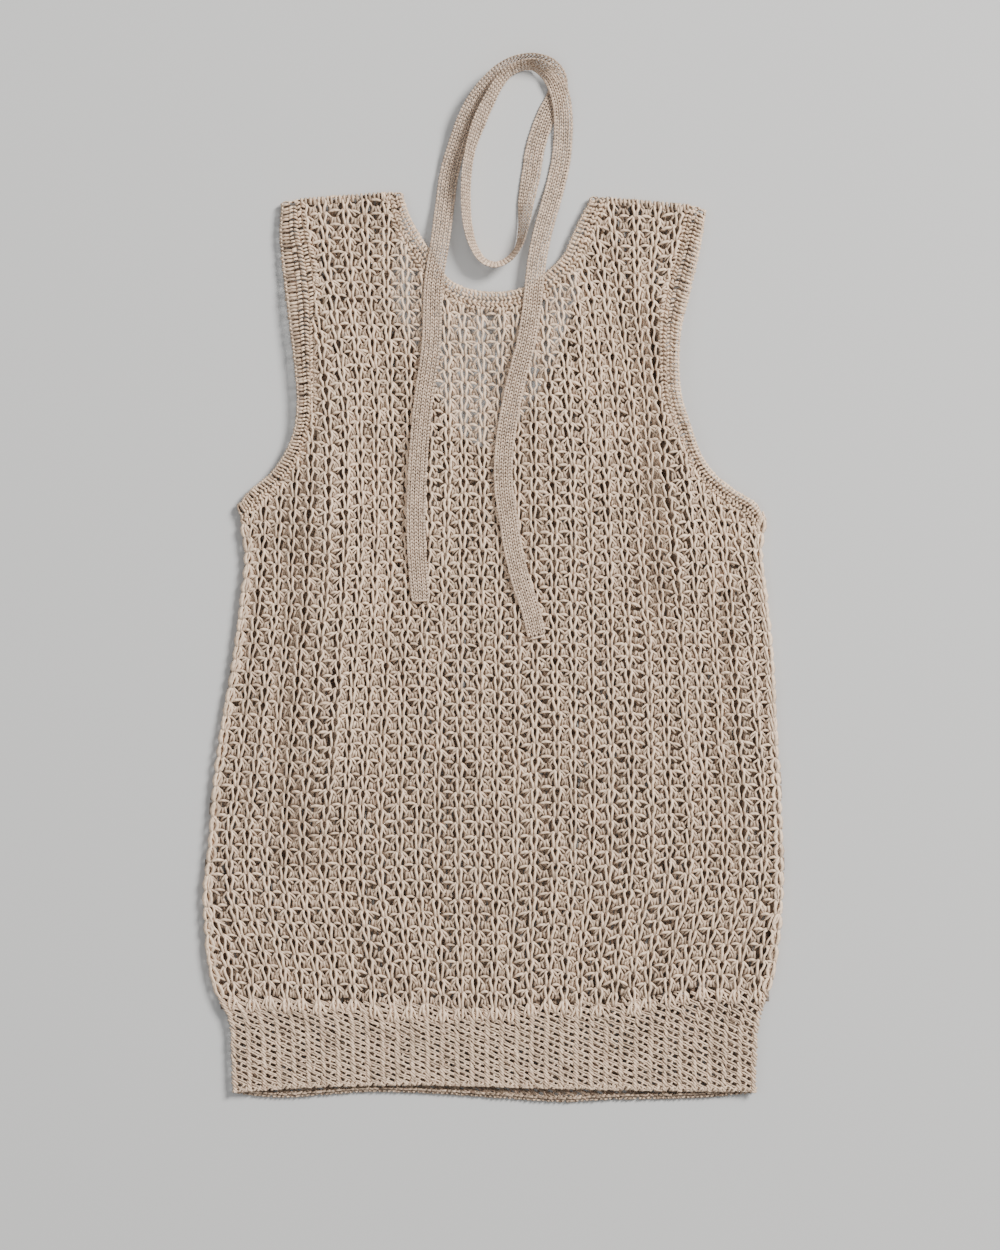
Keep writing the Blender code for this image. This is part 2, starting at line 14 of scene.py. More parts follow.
import bpy
import numpy as np
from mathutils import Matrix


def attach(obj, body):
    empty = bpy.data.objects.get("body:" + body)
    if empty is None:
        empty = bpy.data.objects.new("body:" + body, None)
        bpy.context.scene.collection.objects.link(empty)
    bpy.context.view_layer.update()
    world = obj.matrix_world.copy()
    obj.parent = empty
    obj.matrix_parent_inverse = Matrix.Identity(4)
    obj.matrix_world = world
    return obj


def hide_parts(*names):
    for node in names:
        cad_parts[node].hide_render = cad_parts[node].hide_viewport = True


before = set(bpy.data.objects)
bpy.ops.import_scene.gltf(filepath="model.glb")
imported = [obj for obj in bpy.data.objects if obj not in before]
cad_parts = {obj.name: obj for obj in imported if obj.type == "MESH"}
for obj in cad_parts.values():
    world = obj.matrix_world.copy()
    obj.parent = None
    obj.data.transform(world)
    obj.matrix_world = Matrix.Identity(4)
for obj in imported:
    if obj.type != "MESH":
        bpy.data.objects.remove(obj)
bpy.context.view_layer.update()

Array = np.ndarray

log = logging.getLogger("vest")

MM = 0.001
ORIGIN_H = 358.9  # height of the frame's origin above the hem
CHAINS = 31  # raised knit columns across the body
TURNED_IN = 1  # columns that turn round each side seam near the hem
LOWER_BASE = 0.0
UPPER_BASE = 3.3  # underside of the upper layer where no fold lifts it
CLOTH_HEIGHT = 3.2  # one layer of openwork, from its underside to its raised chains
MIDDLE_Z = 3.15  # between the two layers
SEED = 1127
# Corners of a panel's outline, well past its side seams
PAST_LEFT = ((-230, 40), (-230, 380))
PAST_RIGHT = ((230, 375), (230, 40))


def table(names: str, rows: tuple) -> dict[str, Array]:
    """Turns rows of numbers into named columns.

    Args:
        names: Column names, parted by blanks.
        rows: One tuple of numbers per row.

    Returns:
        Column name to array.
    """
    return dict(zip(names.split(), np.array(rows, float).T))


# Side seams, and above the underarms the lines that the knit columns would follow
SIDE = table(
    "h left right",
    (
        (0, -179, 180), (36, -180, 181), (58, -182, 183), (70, -188, 187), (84, -193, 191),
        (111, -197, 195.5), (140, -198.5, 198), (175, -195, 198), (220, -191.5, 196),
        (262, -185.5, 193.5), (303, -178.5, 191.5), (344, -173, 187.5), (378, -170.5, 184),
        (400, -174, 187), (450, -176, 187), (500, -175, 186), (560, -181, 180),
        (640, -188, 184),
    ),
)
# Where the knit columns run, from the first to the last
COLUMNS = table(
    "h c0 c6 c9 c15 c21 c24 c30",
    (
        (60, -176, -106, -70, 0, 71, 106, 178), (94, -180.6, -108.6, -71.8, 0.2, 72.1, 106.9, 181.6),
        (140, -193, -115, -77.5, 1.5, 78, 117, 194.5),
        (259, -182.6, -109.8, -75.8, 2.8, 81.3, 118.6, 190.8),
        (363, -168.5, -104, -70.5, 4, 78.6, 113.1, 182),
        (485, -172, -103.6, -69.2, 4.5, 72.4, 104, 162),
        (560, -190, -112, -73, 4.5, 63.8, 97.3, 165), (620, -205, -117, -73, 4.5, 49.3, 96.3, 190),
    ),
)
COLUMN_KNOTS = np.array((0, 6, 9, 15, 21, 24, 30), float)
# Top edge of the panels at the shoulders
SHOULDER = table(
    "x h",
    (
        (-145.5, 616), (-130.5, 618.5), (-74.3, 622.7), (-62, 622.7), (66.1, 620), (78.4, 619.2),
        (133.2, 614.4), (145.6, 611),
    ),
)
JUNCTION = table("x h", ((-195, 72), (-98, 66.5), (5, 64.5), (80, 68), (148, 75), (195, 76)))
BACK_HEM = table("x h", ((-182, 7), (-120, 11), (-45, 12.3), (60, 9.5), (182, 7.5)))
FRONT_HEM = table(
    "x h",
    (
        (-182, 7.5), (-155, 4), (-83, 7.5), (-43, 6.5), (11, 2.7), (46, 0.6), (80, 2),
        (149, 4), (182, 7),
    ),
)
# Armhole bands, underarm to shoulder: the free edge, then the edge at the panel
LEFT_ARM = table(
    "free_x free_h panel_x panel_h",
    (
        (-176.5, 409, -171.6, 394), (-166, 419, -158, 410), (-153, 429.5, -144.5, 420.5),
        (-145, 440, -134.6, 433), (-139.5, 450, -128, 445.4), (-136, 460.5, -124, 458),
        (-134, 481, -121, 481), (-135.5, 501.5, -121, 503), (-138, 522, -120.2, 524),
        (-142, 552, -119.5, 554), (-144.5, 575, -122, 576), (-146, 594, -127, 595),
        (-145.5, 616, -130.5, 618.5),
    ),
)
RIGHT_ARM = table(
    "free_x free_h panel_x panel_h",
    (
        (187.3, 400, 184, 385), (180, 409, 172, 399.5), (165, 419, 157.5, 409.3),
        (151.7, 429.5, 143, 420.6), (143.5, 440, 133.2, 433.2), (138.7, 450, 127.3, 445.6),
        (135.3, 460.3, 123.6, 456.6), (128.4, 481, 115.7, 479), (126.4, 511.7, 113.4, 511.7),
        (128.4, 532.2, 113.6, 535), (134, 553, 116.7, 557), (138.7, 573, 122.6, 576.5),
        (142.8, 594, 128.7, 596.5), (145.6, 611, 133.2, 614.4),
    ),
)
# Neckband, left shoulder to right shoulder, on the back and then on the front
BACK_NECK = table(
    "free_x free_h panel_x panel_h",
    (
        (-62, 622.7, -74.3, 622.7), (-56.5, 604.2, -68, 600), (-51, 594, -61.6, 587.6),
        (-43.5, 582.2, -53.8, 575.3), (-29.8, 562.4, -38.3, 553.5), (-16.1, 556.2, -19.7, 544.6),
        (-2.4, 554.2, -3, 541.8), (11.3, 555, 13.4, 542.5), (25, 559, 31, 548),
        (38.7, 570, 47, 561), (48.3, 580.2, 58.6, 573.3), (53.8, 592.5, 65, 587.3),
        (59.3, 604.2, 70.5, 599), (66.1, 620, 78.4, 619.2),
    ),
)
FRONT_NECK = table(
    "free_x free_h panel_x panel_h",
    (
        (-62, 622.7, -74.3, 622.7), (-65.4, 597.3, -77.7, 598.7), (-69.5, 573.3, -82, 574.7),
        (-71, 549.4, -83, 546.3), (-60.6, 528.8, -71.6, 523), (-36.6, 481, -47.6, 475),
        (-23, 459, -32.2, 450.4), (-8, 448, -12, 436), (8, 453.5, 14, 442.5),
        (28.4, 481, 39, 474), (45.6, 515, 57.2, 510), (57.2, 549.4, 69.3, 546.6),
        (62, 576.8, 74.3, 575.7), (66.1, 620, 78.4, 619.2),
    ),
)
# Soft folds of the back: a ridge from its lower to its upper end
FOLDS = table(
    "x_low h_low x_high h_high half_width rise",
    (
        (-123, 150, -116, 460, 24, 11.4), (-112, 345, -119, 600, 15, 4.4),
        (-161, 170, -156, 400, 11, 2.2), (127, 300, 114, 595, 15, 7.2),
        (173, 130, 168, 400, 12, 4.2),
        (37, 335, 38, 545, 16, 4.2), (-50, 345, -46, 565, 15, 3.0),
        (-20, 110, -10, 300, 26, 0.9), (88, 95, 96, 330, 22, 1.0),
    ),
)
FOLD_END = 0.25  # share of a fold in which it rises, and in which it dies away
FLAT_BY_SEAM = 22  # width in which the folds flatten towards a side seam
FLAT_BY_HEM = (72, 117)  # heights between which they start
FLAT_BY_SHOULDER = (540, 600)  # heights between which they end
SIDE_TURN = (0.35, 16)  # slope at a side seam, and how far in it reaches
STAND = 1.7  # how much more than its slope the knit leans out of a fold
# Loops of the side seams, from the top tier to the lowest. lag is in rows, lean turns the loop
# up or down, inset shifts it towards the panel, girth is its width and loops how many lie abreast.
SEAM_TIERS = table(
    "z lag lean inset girth loops",
    ((5.2, 0, 1.65, 0, 1, 2), (3.1, 0.5, 0.15, 0.9, 0.7, 1), (1.3, 0, -1.05, 0.9, 0.7, 1)),
)
SEAM_LOOPS = ((2.6, 1.3, 0.9, 1.4, 2.5), (3.2, 4.9, 5.5, 4.7, 3.0))  # how far in, end to end
SEAM_SHARES = (-0.06, 0.16, 0.42, 0.74, 1.03)  # how far along its row, end to end
SEAM_GIRTH = np.array((0.9, 1.5, 1.8, 1.5, 0.9))
# The stitches that close a shoulder: from the back, over the top edge, to the front
SHOULDER_SPANS = ((-131, -74), (78, 134))
SHOULDER_STITCH = table(
    "h z lean up_h up_z",
    (
        (-5.2, 5.4, 0.3, 0.1, 1.0), (-1.6, 5.9, 0.0, 0.5, 0.9), (-0.3, 4.6, -0.2, 1.0, 0.2),
        (-0.2, 2.2, -0.2, 0.9, -0.4), (-2.0, 0.8, 0.0, 0.3, -1.0),
    ),
)
# The tie from its left end to its right one. tilt turns it on edge, on_cloth says how far it
# has climbed from the surface onto the vest, and over is its height where it crosses itself.
TIE = table(
    "x h tilt on_cloth over",
    (
        (-49.7, 343, 0, 1, 0), (-52.7, 385, 0, 1, 0), (-51.7, 433, 0, 1, 0),
        (-47.6, 481, 0, 1, 0), (-42.8, 514.5, 0, 1, 0), (-40.4, 564.5, 0, 1, 0),
        (-36.8, 586, 0, 1, 0), (-33.5, 612, 3, 0.4, 0), (-29.8, 638, 10, 0, 0),
        (-23.6, 659, 22, 0, 0), (-19.0, 673, 35, 0, 0), (-12.7, 685.7, 42, 0, 0),
        (-3.8, 697.8, 52, 0, 0), (7.9, 708.2, 60, 0, 0), (20.2, 712.7, 62, 0, 0),
        (30.5, 712.2, 54, 0, 0), (38.5, 708.2, 32, 0, 0), (43.4, 702, 15, 0, 0),
        (44.2, 694, 4, 0, 0), (42, 686.5, 0, 0, 0), (37.6, 678.5, 0, 0, 0),
        (33.2, 668, 0, 0, 0), (28.6, 653, 0, 0, 0), (25.6, 634, 8, 0, 0),
        (22.4, 616, 32, 0, 0), (20.4, 598, 58, 0, 0), (16.6, 584, 70, 0, 0),
        (9.2, 575.6, 68, 0, 0), (0.6, 572.7, 66, 0, 0), (-7.2, 575.8, 66, 0, 0),
        (-13, 584, 65, 0, 0), (-17.2, 598, 62, 0, 0), (-18.9, 616, 60, 0, 0),
        (-18.3, 635, 60, 0, 0), (-15.4, 653, 60, 0, 0), (-10.2, 669, 48, 0, 0),
        (-3.3, 684.3, 52, 0, 0), (3.6, 696.6, 60, 0, 0), (11.3, 705, 66, 0, 0),
        (20.2, 709, 66, 0, 0), (28, 709.3, 60, 0, 0.2), (34.4, 706.2, 42, 0, 1.2),
        (39.6, 701.5, 24, 0, 2.4), (43.4, 695, 8, 0, 2.6), (46, 687, 0, 0, 2.6),
        (47.6, 675, 0, 0, 2.2), (47.6, 661, 0, 0, 0.8), (46.6, 648, 0, 0, 0),
        (43.1, 630, 0, 0, 0), (38.6, 613.5, 0, 0.25, 0), (33.4, 594, 0, 0.8, 0),
        (29.6, 575, 0, 1, 0), (27.8, 559, 0, 1, 0), (25.8, 540.5, 0, 1, 0),
        (21.9, 518, 0, 1, 0), (15.9, 495, 0, 1, 0), (11.3, 473, 0, 1, 0), (7.7, 450, 0, 1, 0),
        (6.6, 427, 0, 1, 0), (10.4, 397, 0, 1, 0), (13.8, 377, 0, 1, 0), (18.6, 357, 0, 1, 0),
        (25.3, 337, 0, 1, 0), (30, 318, 0, 1, 0),
    ),
)


def smooth_step(t: Array | float) -> Array:
    """Returns 0 below 0, 1 above 1 and an S curve between."""
    t = np.clip(t, 0.0, 1.0)
    return t * t * (3 - 2 * t)


def curve_at(xs: Array, ys: Array, x: Array | float) -> Array:
    """Reads the cubic curve through the points (xs, ys).

    Args:
        xs: Rising places of the points.
        ys: Their values.
        x: Where to read the curve.

    Returns:
        The curve's values at x.
    """
    x = np.clip(np.asarray(x, float), xs[0], xs[-1])
    slopes = np.gradient(ys, xs)
    i = np.clip(np.searchsorted(xs, x, side="right") - 1, 0, len(xs) - 2)
    width = xs[i + 1] - xs[i]
    t = (x - xs[i]) / width
    rise = ys[i + 1] - ys[i]
    a, b = slopes[i] * width, slopes[i + 1] * width
    return ys[i] + t * a + t * t * (3 * rise - 2 * a - b) + t**3 * (a + b - 2 * rise)


def unit(v: Array) -> Array:
    """Scales vectors on the last axis to length 1."""
    return v / np.maximum(np.linalg.norm(v, axis=-1, keepdims=True), 1e-9)


def side_x(h: Array | float) -> tuple[Array, Array]:
    """Returns the left and right side seam at height h."""
    return curve_at(SIDE["h"], SIDE["left"], h), curve_at(SIDE["h"], SIDE["right"], h)


def column_x(u: Array, h: Array) -> Array:
    """Finds the place of the knit columns.

    Args:
        u: Column numbers, 0 at the left seam.
        h: Heights, of the same shape.

    Returns:
        Their x.
    """
    knots = np.stack([curve_at(COLUMNS["h"], COLUMNS[f"c{k:.0f}"], h) for k in COLUMN_KNOTS])
    i = np.clip(np.searchsorted(COLUMN_KNOTS, u, side="right") - 1, 0, len(COLUMN_KNOTS) - 2)
    low = np.take_along_axis(knots, i[None], 0)[0]
    high = np.take_along_axis(knots, i[None] + 1, 0)[0]
    share = (u - COLUMN_KNOTS[i]) / (COLUMN_KNOTS[i + 1] - COLUMN_KNOTS[i])
    return low + (high - low) * share


def fold_lift(place: Array) -> Array:
    """Finds how far the folds lift the back off the front.

    Args:
        place: Points (..., 2) as x and h.

    Returns:
        The lift at each point.
    """
    x, h = place[..., 0], place[..., 1]
    lift = np.zeros_like(x)
    for x0, h0, x1, h1, half, rise in zip(*FOLDS.values()):
        way = np.array((x1 - x0, h1 - h0))
        long = float(np.hypot(*way))
        along = ((x - x0) * way[0] + (h - h0) * way[1]) / long**2
        off = ((x - x0) * way[1] - (h - h0) * way[0]) / long
        ends = smooth_step(along / FOLD_END) * smooth_step((1 - along) / FOLD_END)
        lift += rise * ends * np.exp(-((off / half) ** 2))
    left, right = side_x(h)
    seam = smooth_step(np.minimum(x - left, right - x) / FLAT_BY_SEAM)
    low, high = FLAT_BY_HEM
    hem = smooth_step((h - low) / (high - low))
    low, high = FLAT_BY_SHOULDER
    return lift * seam * hem * smooth_step((high - h) / (high - low))


def cloth_slope(place: Array) -> Array:
    """Finds how steeply the back slopes on its folds and where it turns over its sides.

    Args:
        place: Points (..., 2) as x and h.

    Returns:
        The rise per millimetre along x and h at each point.
    """
    slope = np.stack(
        [(fold_lift(place + way) - fold_lift(place - way)) / 2 for way in np.eye(2)], -1
    )
    left, right = side_x(place[..., 1])
    turn, reach = SIDE_TURN
    slope[..., 0] += turn * (1 - smooth_step((place[..., 0] - left) / reach))
    slope[..., 0] -= turn * (1 - smooth_step((right - place[..., 0]) / reach))
    return slope * STAND


def read_line(at: Array, along: Array, values: Array) -> Array:
    """Reads values along a line.

    Args:
        at: Where to read them.
        along: The places that they are given for.
        values: One value or one row of values for each place.

    Returns:
        The values, or rows of them, at the places asked for.
    """
    if values.ndim == 1:
        return np.interp(at, along, values)
    return np.stack([np.interp(at, along, column) for column in values.T], -1)


def band_line(band: dict[str, Array], share: float) -> Array:
    """Draws a line along a band.

    Args:
        band: The band's free and panel edge.
        share: How far it lies from the panel edge, 0, towards the free edge, 1.

    Returns:
        Corners (n, 2).
    """
    free = np.stack((band["free_x"], band["free_h"]), 1)
    panel = np.stack((band["panel_x"], band["panel_h"]), 1)
    return panel + (free - panel) * share


def inside(place: Array, outline: Array) -> Array:
    """Says which points lie inside a closed outline.

    Args:
        place: Points (..., 2).
        outline: Corners (n, 2).

    Returns:
        True for each point inside.
    """
    x, y = place[..., 0], place[..., 1]
    found = np.zeros(x.shape, bool)
    for (ax, ay), (bx, by) in zip(outline, np.roll(outline, -1, 0)):
        if ay == by:
            continue
        crosses = (ay > y) != (by > y)
        found ^= crosses & (x < (bx - ax) * (y - ay) / (by - ay) + ax)
    return found


def distance_to(place: Array, line: Array) -> Array:
    """Measures how far points lie from a line of straight stretches.

    Args:
        place: Points (..., 2).
        line: Corners (n, 2).

    Returns:
        The distance of each point.
    """
    best = np.full(place.shape[:-1], np.inf)
    for a, b in zip(line[:-1], line[1:]):
        way = b - a
        t = np.clip(((place - a) @ way) / max(float(way @ way), 1e-9), 0, 1)
        gap = place - a - t[..., None] * way
        best = np.minimum(best, np.hypot(gap[..., 0], gap[..., 1]))
    return best


class Signal:
    """A shader socket that can be used in sums."""

    def __init__(self, recipe: "Recipe", socket: bpy.types.NodeSocket) -> None:
        """Wraps the socket of the recipe's node tree."""
        self.recipe = recipe
        self.socket = socket

    def _math(self, operation: str, first: object, second: object = None) -> "Signal":
        """Adds a Math node.

        Args:
            operation: The node's operation.
            first: Its first value or signal.
            second: Its second one, where it takes two.

        Returns:
            The node's result.
        """
        inputs = {0: first} if second is None else {0: first, 1: second}
        return self.recipe.add("ShaderNodeMath", {"operation": operation}, inputs)

    def __add__(self, other: object) -> "Signal":
        """Adds."""
        return self._math("ADD", self, other)

    __radd__ = __add__

    def __sub__(self, other: object) -> "Signal":
        """Takes away."""
        return self._math("SUBTRACT", self, other)

    def __rsub__(self, other: object) -> "Signal":
        """Is taken away from other."""
        return self._math("SUBTRACT", other, self)

    def __mul__(self, other: object) -> "Signal":
        """Multiplies."""
        return self._math("MULTIPLY", self, other)

    __rmul__ = __mul__

    def sine(self) -> "Signal":
        """Takes the sine."""
        return self._math("SINE", self)


class Recipe:
    """The node tree of one material."""

    def __init__(self, name: str) -> None:
        """Starts a material with its shader and output.

        Args:
            name: The material's name.
        """
        self.material = bpy.data.materials.new(name)
        self.material.use_nodes = True
        self.tree = self.material.node_tree
        self.shader = self.tree.nodes["Principled BSDF"]

    def add(self, kind: str, settings: dict, inputs: dict, output: int | str = 0) -> Signal:
        """Adds a node.

        Args:
            kind: The node's type.
            settings: Its settings, set first.
            inputs: Values or signals by socket.
            output: The socket that is wanted.

        Returns:
            That output as a signal.
        """
        node = self.tree.nodes.new(kind)
        for key, value in settings.items():
            setattr(node, key, value)
        for key, value in inputs.items():
            self.feed(node.inputs[key], value)
        return Signal(self, node.outputs[output])

    def feed(self, socket: bpy.types.NodeSocket, value: object) -> None:
        """Links a signal to a socket, or sets its value.

        Args:
            socket: The socket.
            value: A signal or a plain value.
        """
        if isinstance(value, Signal):
            self.tree.links.new(value.socket, socket)
        else:
            socket.default_value = value

    def mix_colour(self, factor: object, first: object, second: object) -> Signal:
        """Mixes two colours by a factor.

        Args:
            factor: 0 for the first colour and 1 for the second.
            first: A colour or signal.
            second: A colour or signal.

        Returns:
            The mixed colour.
        """
        return self.add(
            "ShaderNodeMix", {"data_type": "RGBA", "clamp_factor": True},
            {0: factor, 6: first, 7: second}, 2,
        )

    def noise(self, scale: float, detail: float, vector: Signal) -> Signal:
        """Adds noise, about 0.5 on average, over a vector.

        Args:
            scale: How fine it is.
            detail: How many finer layers it has.
            vector: The places to read it at.

        Returns:
            The noise.
        """
        return self.add(
            "ShaderNodeTexNoise", {"noise_dimensions": "3D"},
            {"Vector": vector, "Scale": scale, "Detail": detail}, "Fac",
        )


@dataclass(frozen=True)
class YarnFinish:
    """Plied cotton yarn: its colours, twist, fibres and sheen, with painted shade on the strands' sides,
    low parts and ply furrows.
    """

    name: str
    light: tuple[float, float, float, float]
    # deep is the dark colour that the tone mix, and with it the painted shade, goes towards
    deep: tuple[float, float, float, float]
    rosy: tuple[float, float, float, float]
    twist_pitch: float = 3.4  # millimetres of one turn of the ply
    plies: int = 2
    roughness: float = 0.66
    sheen: float = 0.1

    def make(self) -> bpy.types.Material:
        """Builds the material.

        Returns:
            The yarn's material.
        """
        r = Recipe(self.name)
        run = r.add("ShaderNodeUVMap", {"uv_map": "yarn_run"}, {}, "UV")
        around = r.add("ShaderNodeSeparateXYZ", {}, {0: run}, "X")
        along = r.add("ShaderNodeSeparateXYZ", {}, {0: run}, "Y")
        tone = r.add("ShaderNodeAttribute", {"attribute_name": "tone"}, {}, "Fac")
        place = r.add("ShaderNodeTexCoord", {}, {}, "Object")

        turns = around * self.plies + along * (1 / self.twist_pitch)
        twist = (turns * math.tau).sine() * 0.5 + 0.5
        hairs = r.add(
            "ShaderNodeCombineXYZ", {}, {0: turns * 9.0, 1: along * 0.35, 2: tone * 31.0}
        )
        fibre = r.noise(1.0, 2.0, hairs)
        drift = r.noise(55.0, 2.0, place)
        slub = r.noise(420.0, 1.0, place)

        # The strands' tone attribute brings painted shade of their sides, undersides and low parts;
        # drift and slub vary the tone at random
        body = r.mix_colour(tone + drift * 0.4 - 0.2, self.deep, self.light)
        warmed = r.mix_colour((slub - 0.5) * 1.4, body, self.rosy)
        # Painted shade in the furrows between the plies, with fibre tone that varies at random
        furrow_shade_and_fibre = (1 - twist) * 0.16 + (fibre - 0.5) * 0.24
        r.feed(r.shader.inputs["Base Color"], r.mix_colour(furrow_shade_and_fibre, warmed, self.deep))
        r.feed(r.shader.inputs["Roughness"], fibre * 0.16 + (self.roughness - 0.08))
        bump = r.add(
            "ShaderNodeBump", {},
            {"Strength": 0.55, "Distance": 0.0004, "Height": twist * 0.6 + fibre * 0.4}, "Normal",
        )
        r.feed(r.shader.inputs["Normal"], bump)
        r.shader.inputs["Sheen Weight"].default_value = self.sheen
        r.shader.inputs["Sheen Roughness"].default_value = 0.45
        r.shader.inputs["Specular IOR Level"].default_value = 0.4
        return r.material


@dataclass(frozen=True)
class StrandForm:
    """One kind of strand: the points of its middle line, its girth and its tone, which for deep or
    hidden kinds is lowered as painted shade.

    A point has two places on its stitch, in the units of the piece that knits it, and then its
    height in the cloth in millimetres.
    """

    points: tuple[tuple[float, float, float], ...]
    half_width: Array | tuple[float, ...] | float
    half_height: Array | float
    tone: float = 1.0  # how light the yarn is on its crown; set lower for deep and hidden kinds as painted shade
    sides: int = 5
    chance: float = 1.0  # share of the stitches that have it


@dataclass(frozen=True)
class CellForms:
    """The strands that make up one cell of the openwork."""

    halves: tuple[StrandForm, ...]  # on both sides of a knot, down its column
    between: tuple[StrandForm, ...]  # between two columns
    lowest: tuple[StrandForm, ...]  # from the lowest knots down onto the hem


# A chain's loop, the wing that leaves its knot and a thinner one under it, the bar, three fans, set
# darker as painted shade where they lie deep
BACK_CELL = CellForms(
    halves=(
        StrandForm(((0.55, -0.06, 1.5), (1.65, 0.05, 2.2), (2.15, 0.2, 2.5), (1.85, 0.43, 2.55),
                    (1.15, 0.66, 2.45), (0.85, 1.03, 2.35)), 0.95, 0.72),
        StrandForm(((0.9, -0.05, 2.0), (2.6, 0.04, 2.25), (4.4, 0.19, 1.95), (5.9, 0.42, 1.3)),
                   0.75, 0.5, 0.9),
        StrandForm(((1.5, 0.08, 1.9), (2.7, 0.26, 2.0), (4.1, 0.49, 1.6), (5.4, 0.74, 1.0)),
                   0.64, 0.42, 0.9, chance=0.7),
    ),
    between=(
        StrandForm(((-3.2, -0.01, 1.3), (-1.7, -0.06, 2.1), (0, -0.08, 2.3), (1.7, -0.06, 2.1),
                    (3.2, -0.01, 1.3)), (0.6, 0.95, 1.1, 0.95, 0.6), 0.6, 0.9),
        StrandForm(((-1.1, 0.38, 1.3), (-2.6, 0.86, 1.1)), 0.98, 0.42, 0.8),
        StrandForm(((0.0, 0.42, 1.2), (0.0, 0.86, 1.1)), 0.98, 0.42, 0.8),
        StrandForm(((1.1, 0.38, 1.3), (2.6, 0.86, 1.1)), 0.98, 0.42, 0.8),
    ),
    lowest=(
        StrandForm(((0.9, -0.15, 2.3), (1.7, 0.3, 2.9), (1.2, 0.75, 2.8), (0.5, 1.15, 2.2)),
                   0.95, 0.66),
        StrandForm(((1.2, -0.1, 2.1), (3.0, 0.35, 2.7), (4.3, 0.8, 2.7), (4.9, 1.1, 2.1)),
                   0.8, 0.58, 0.95, chance=0.8),
    ),
)
# The same cell with fewer points and one broad fan, for the layer that is mostly hidden; its lower tones
# are painted shade of the layer beneath
FRONT_CELL = CellForms(
    halves=(
        StrandForm(((1.65, 0.05, 2.2), (1.85, 0.43, 2.55), (0.85, 1.03, 2.35)), 1.3, 0.72, 0.8, 4),
        StrandForm(((0.9, -0.05, 2.0), (4.4, 0.19, 1.95), (5.9, 0.42, 1.3)), 1.1, 0.5, 0.7, 4),
    ),
    between=(
        StrandForm(((-3.2, -0.01, 1.3), (0, -0.08, 2.3), (3.2, -0.01, 1.3)), 1.2, 0.6, 0.7, 4),
        StrandForm(((0.0, 0.02, 1.2), (0.0, 0.9, 1.1)), 2.7, 0.45, 0.7, 4),
    ),
    lowest=(StrandForm(((0.0, -0.2, 1.2), (0.0, 1.2, 1.0)), 3.6, 0.45, 0.7, 4),),
)
SHOULDER_GIRTH = StrandForm((), 0.85, 0.62, 0.68)


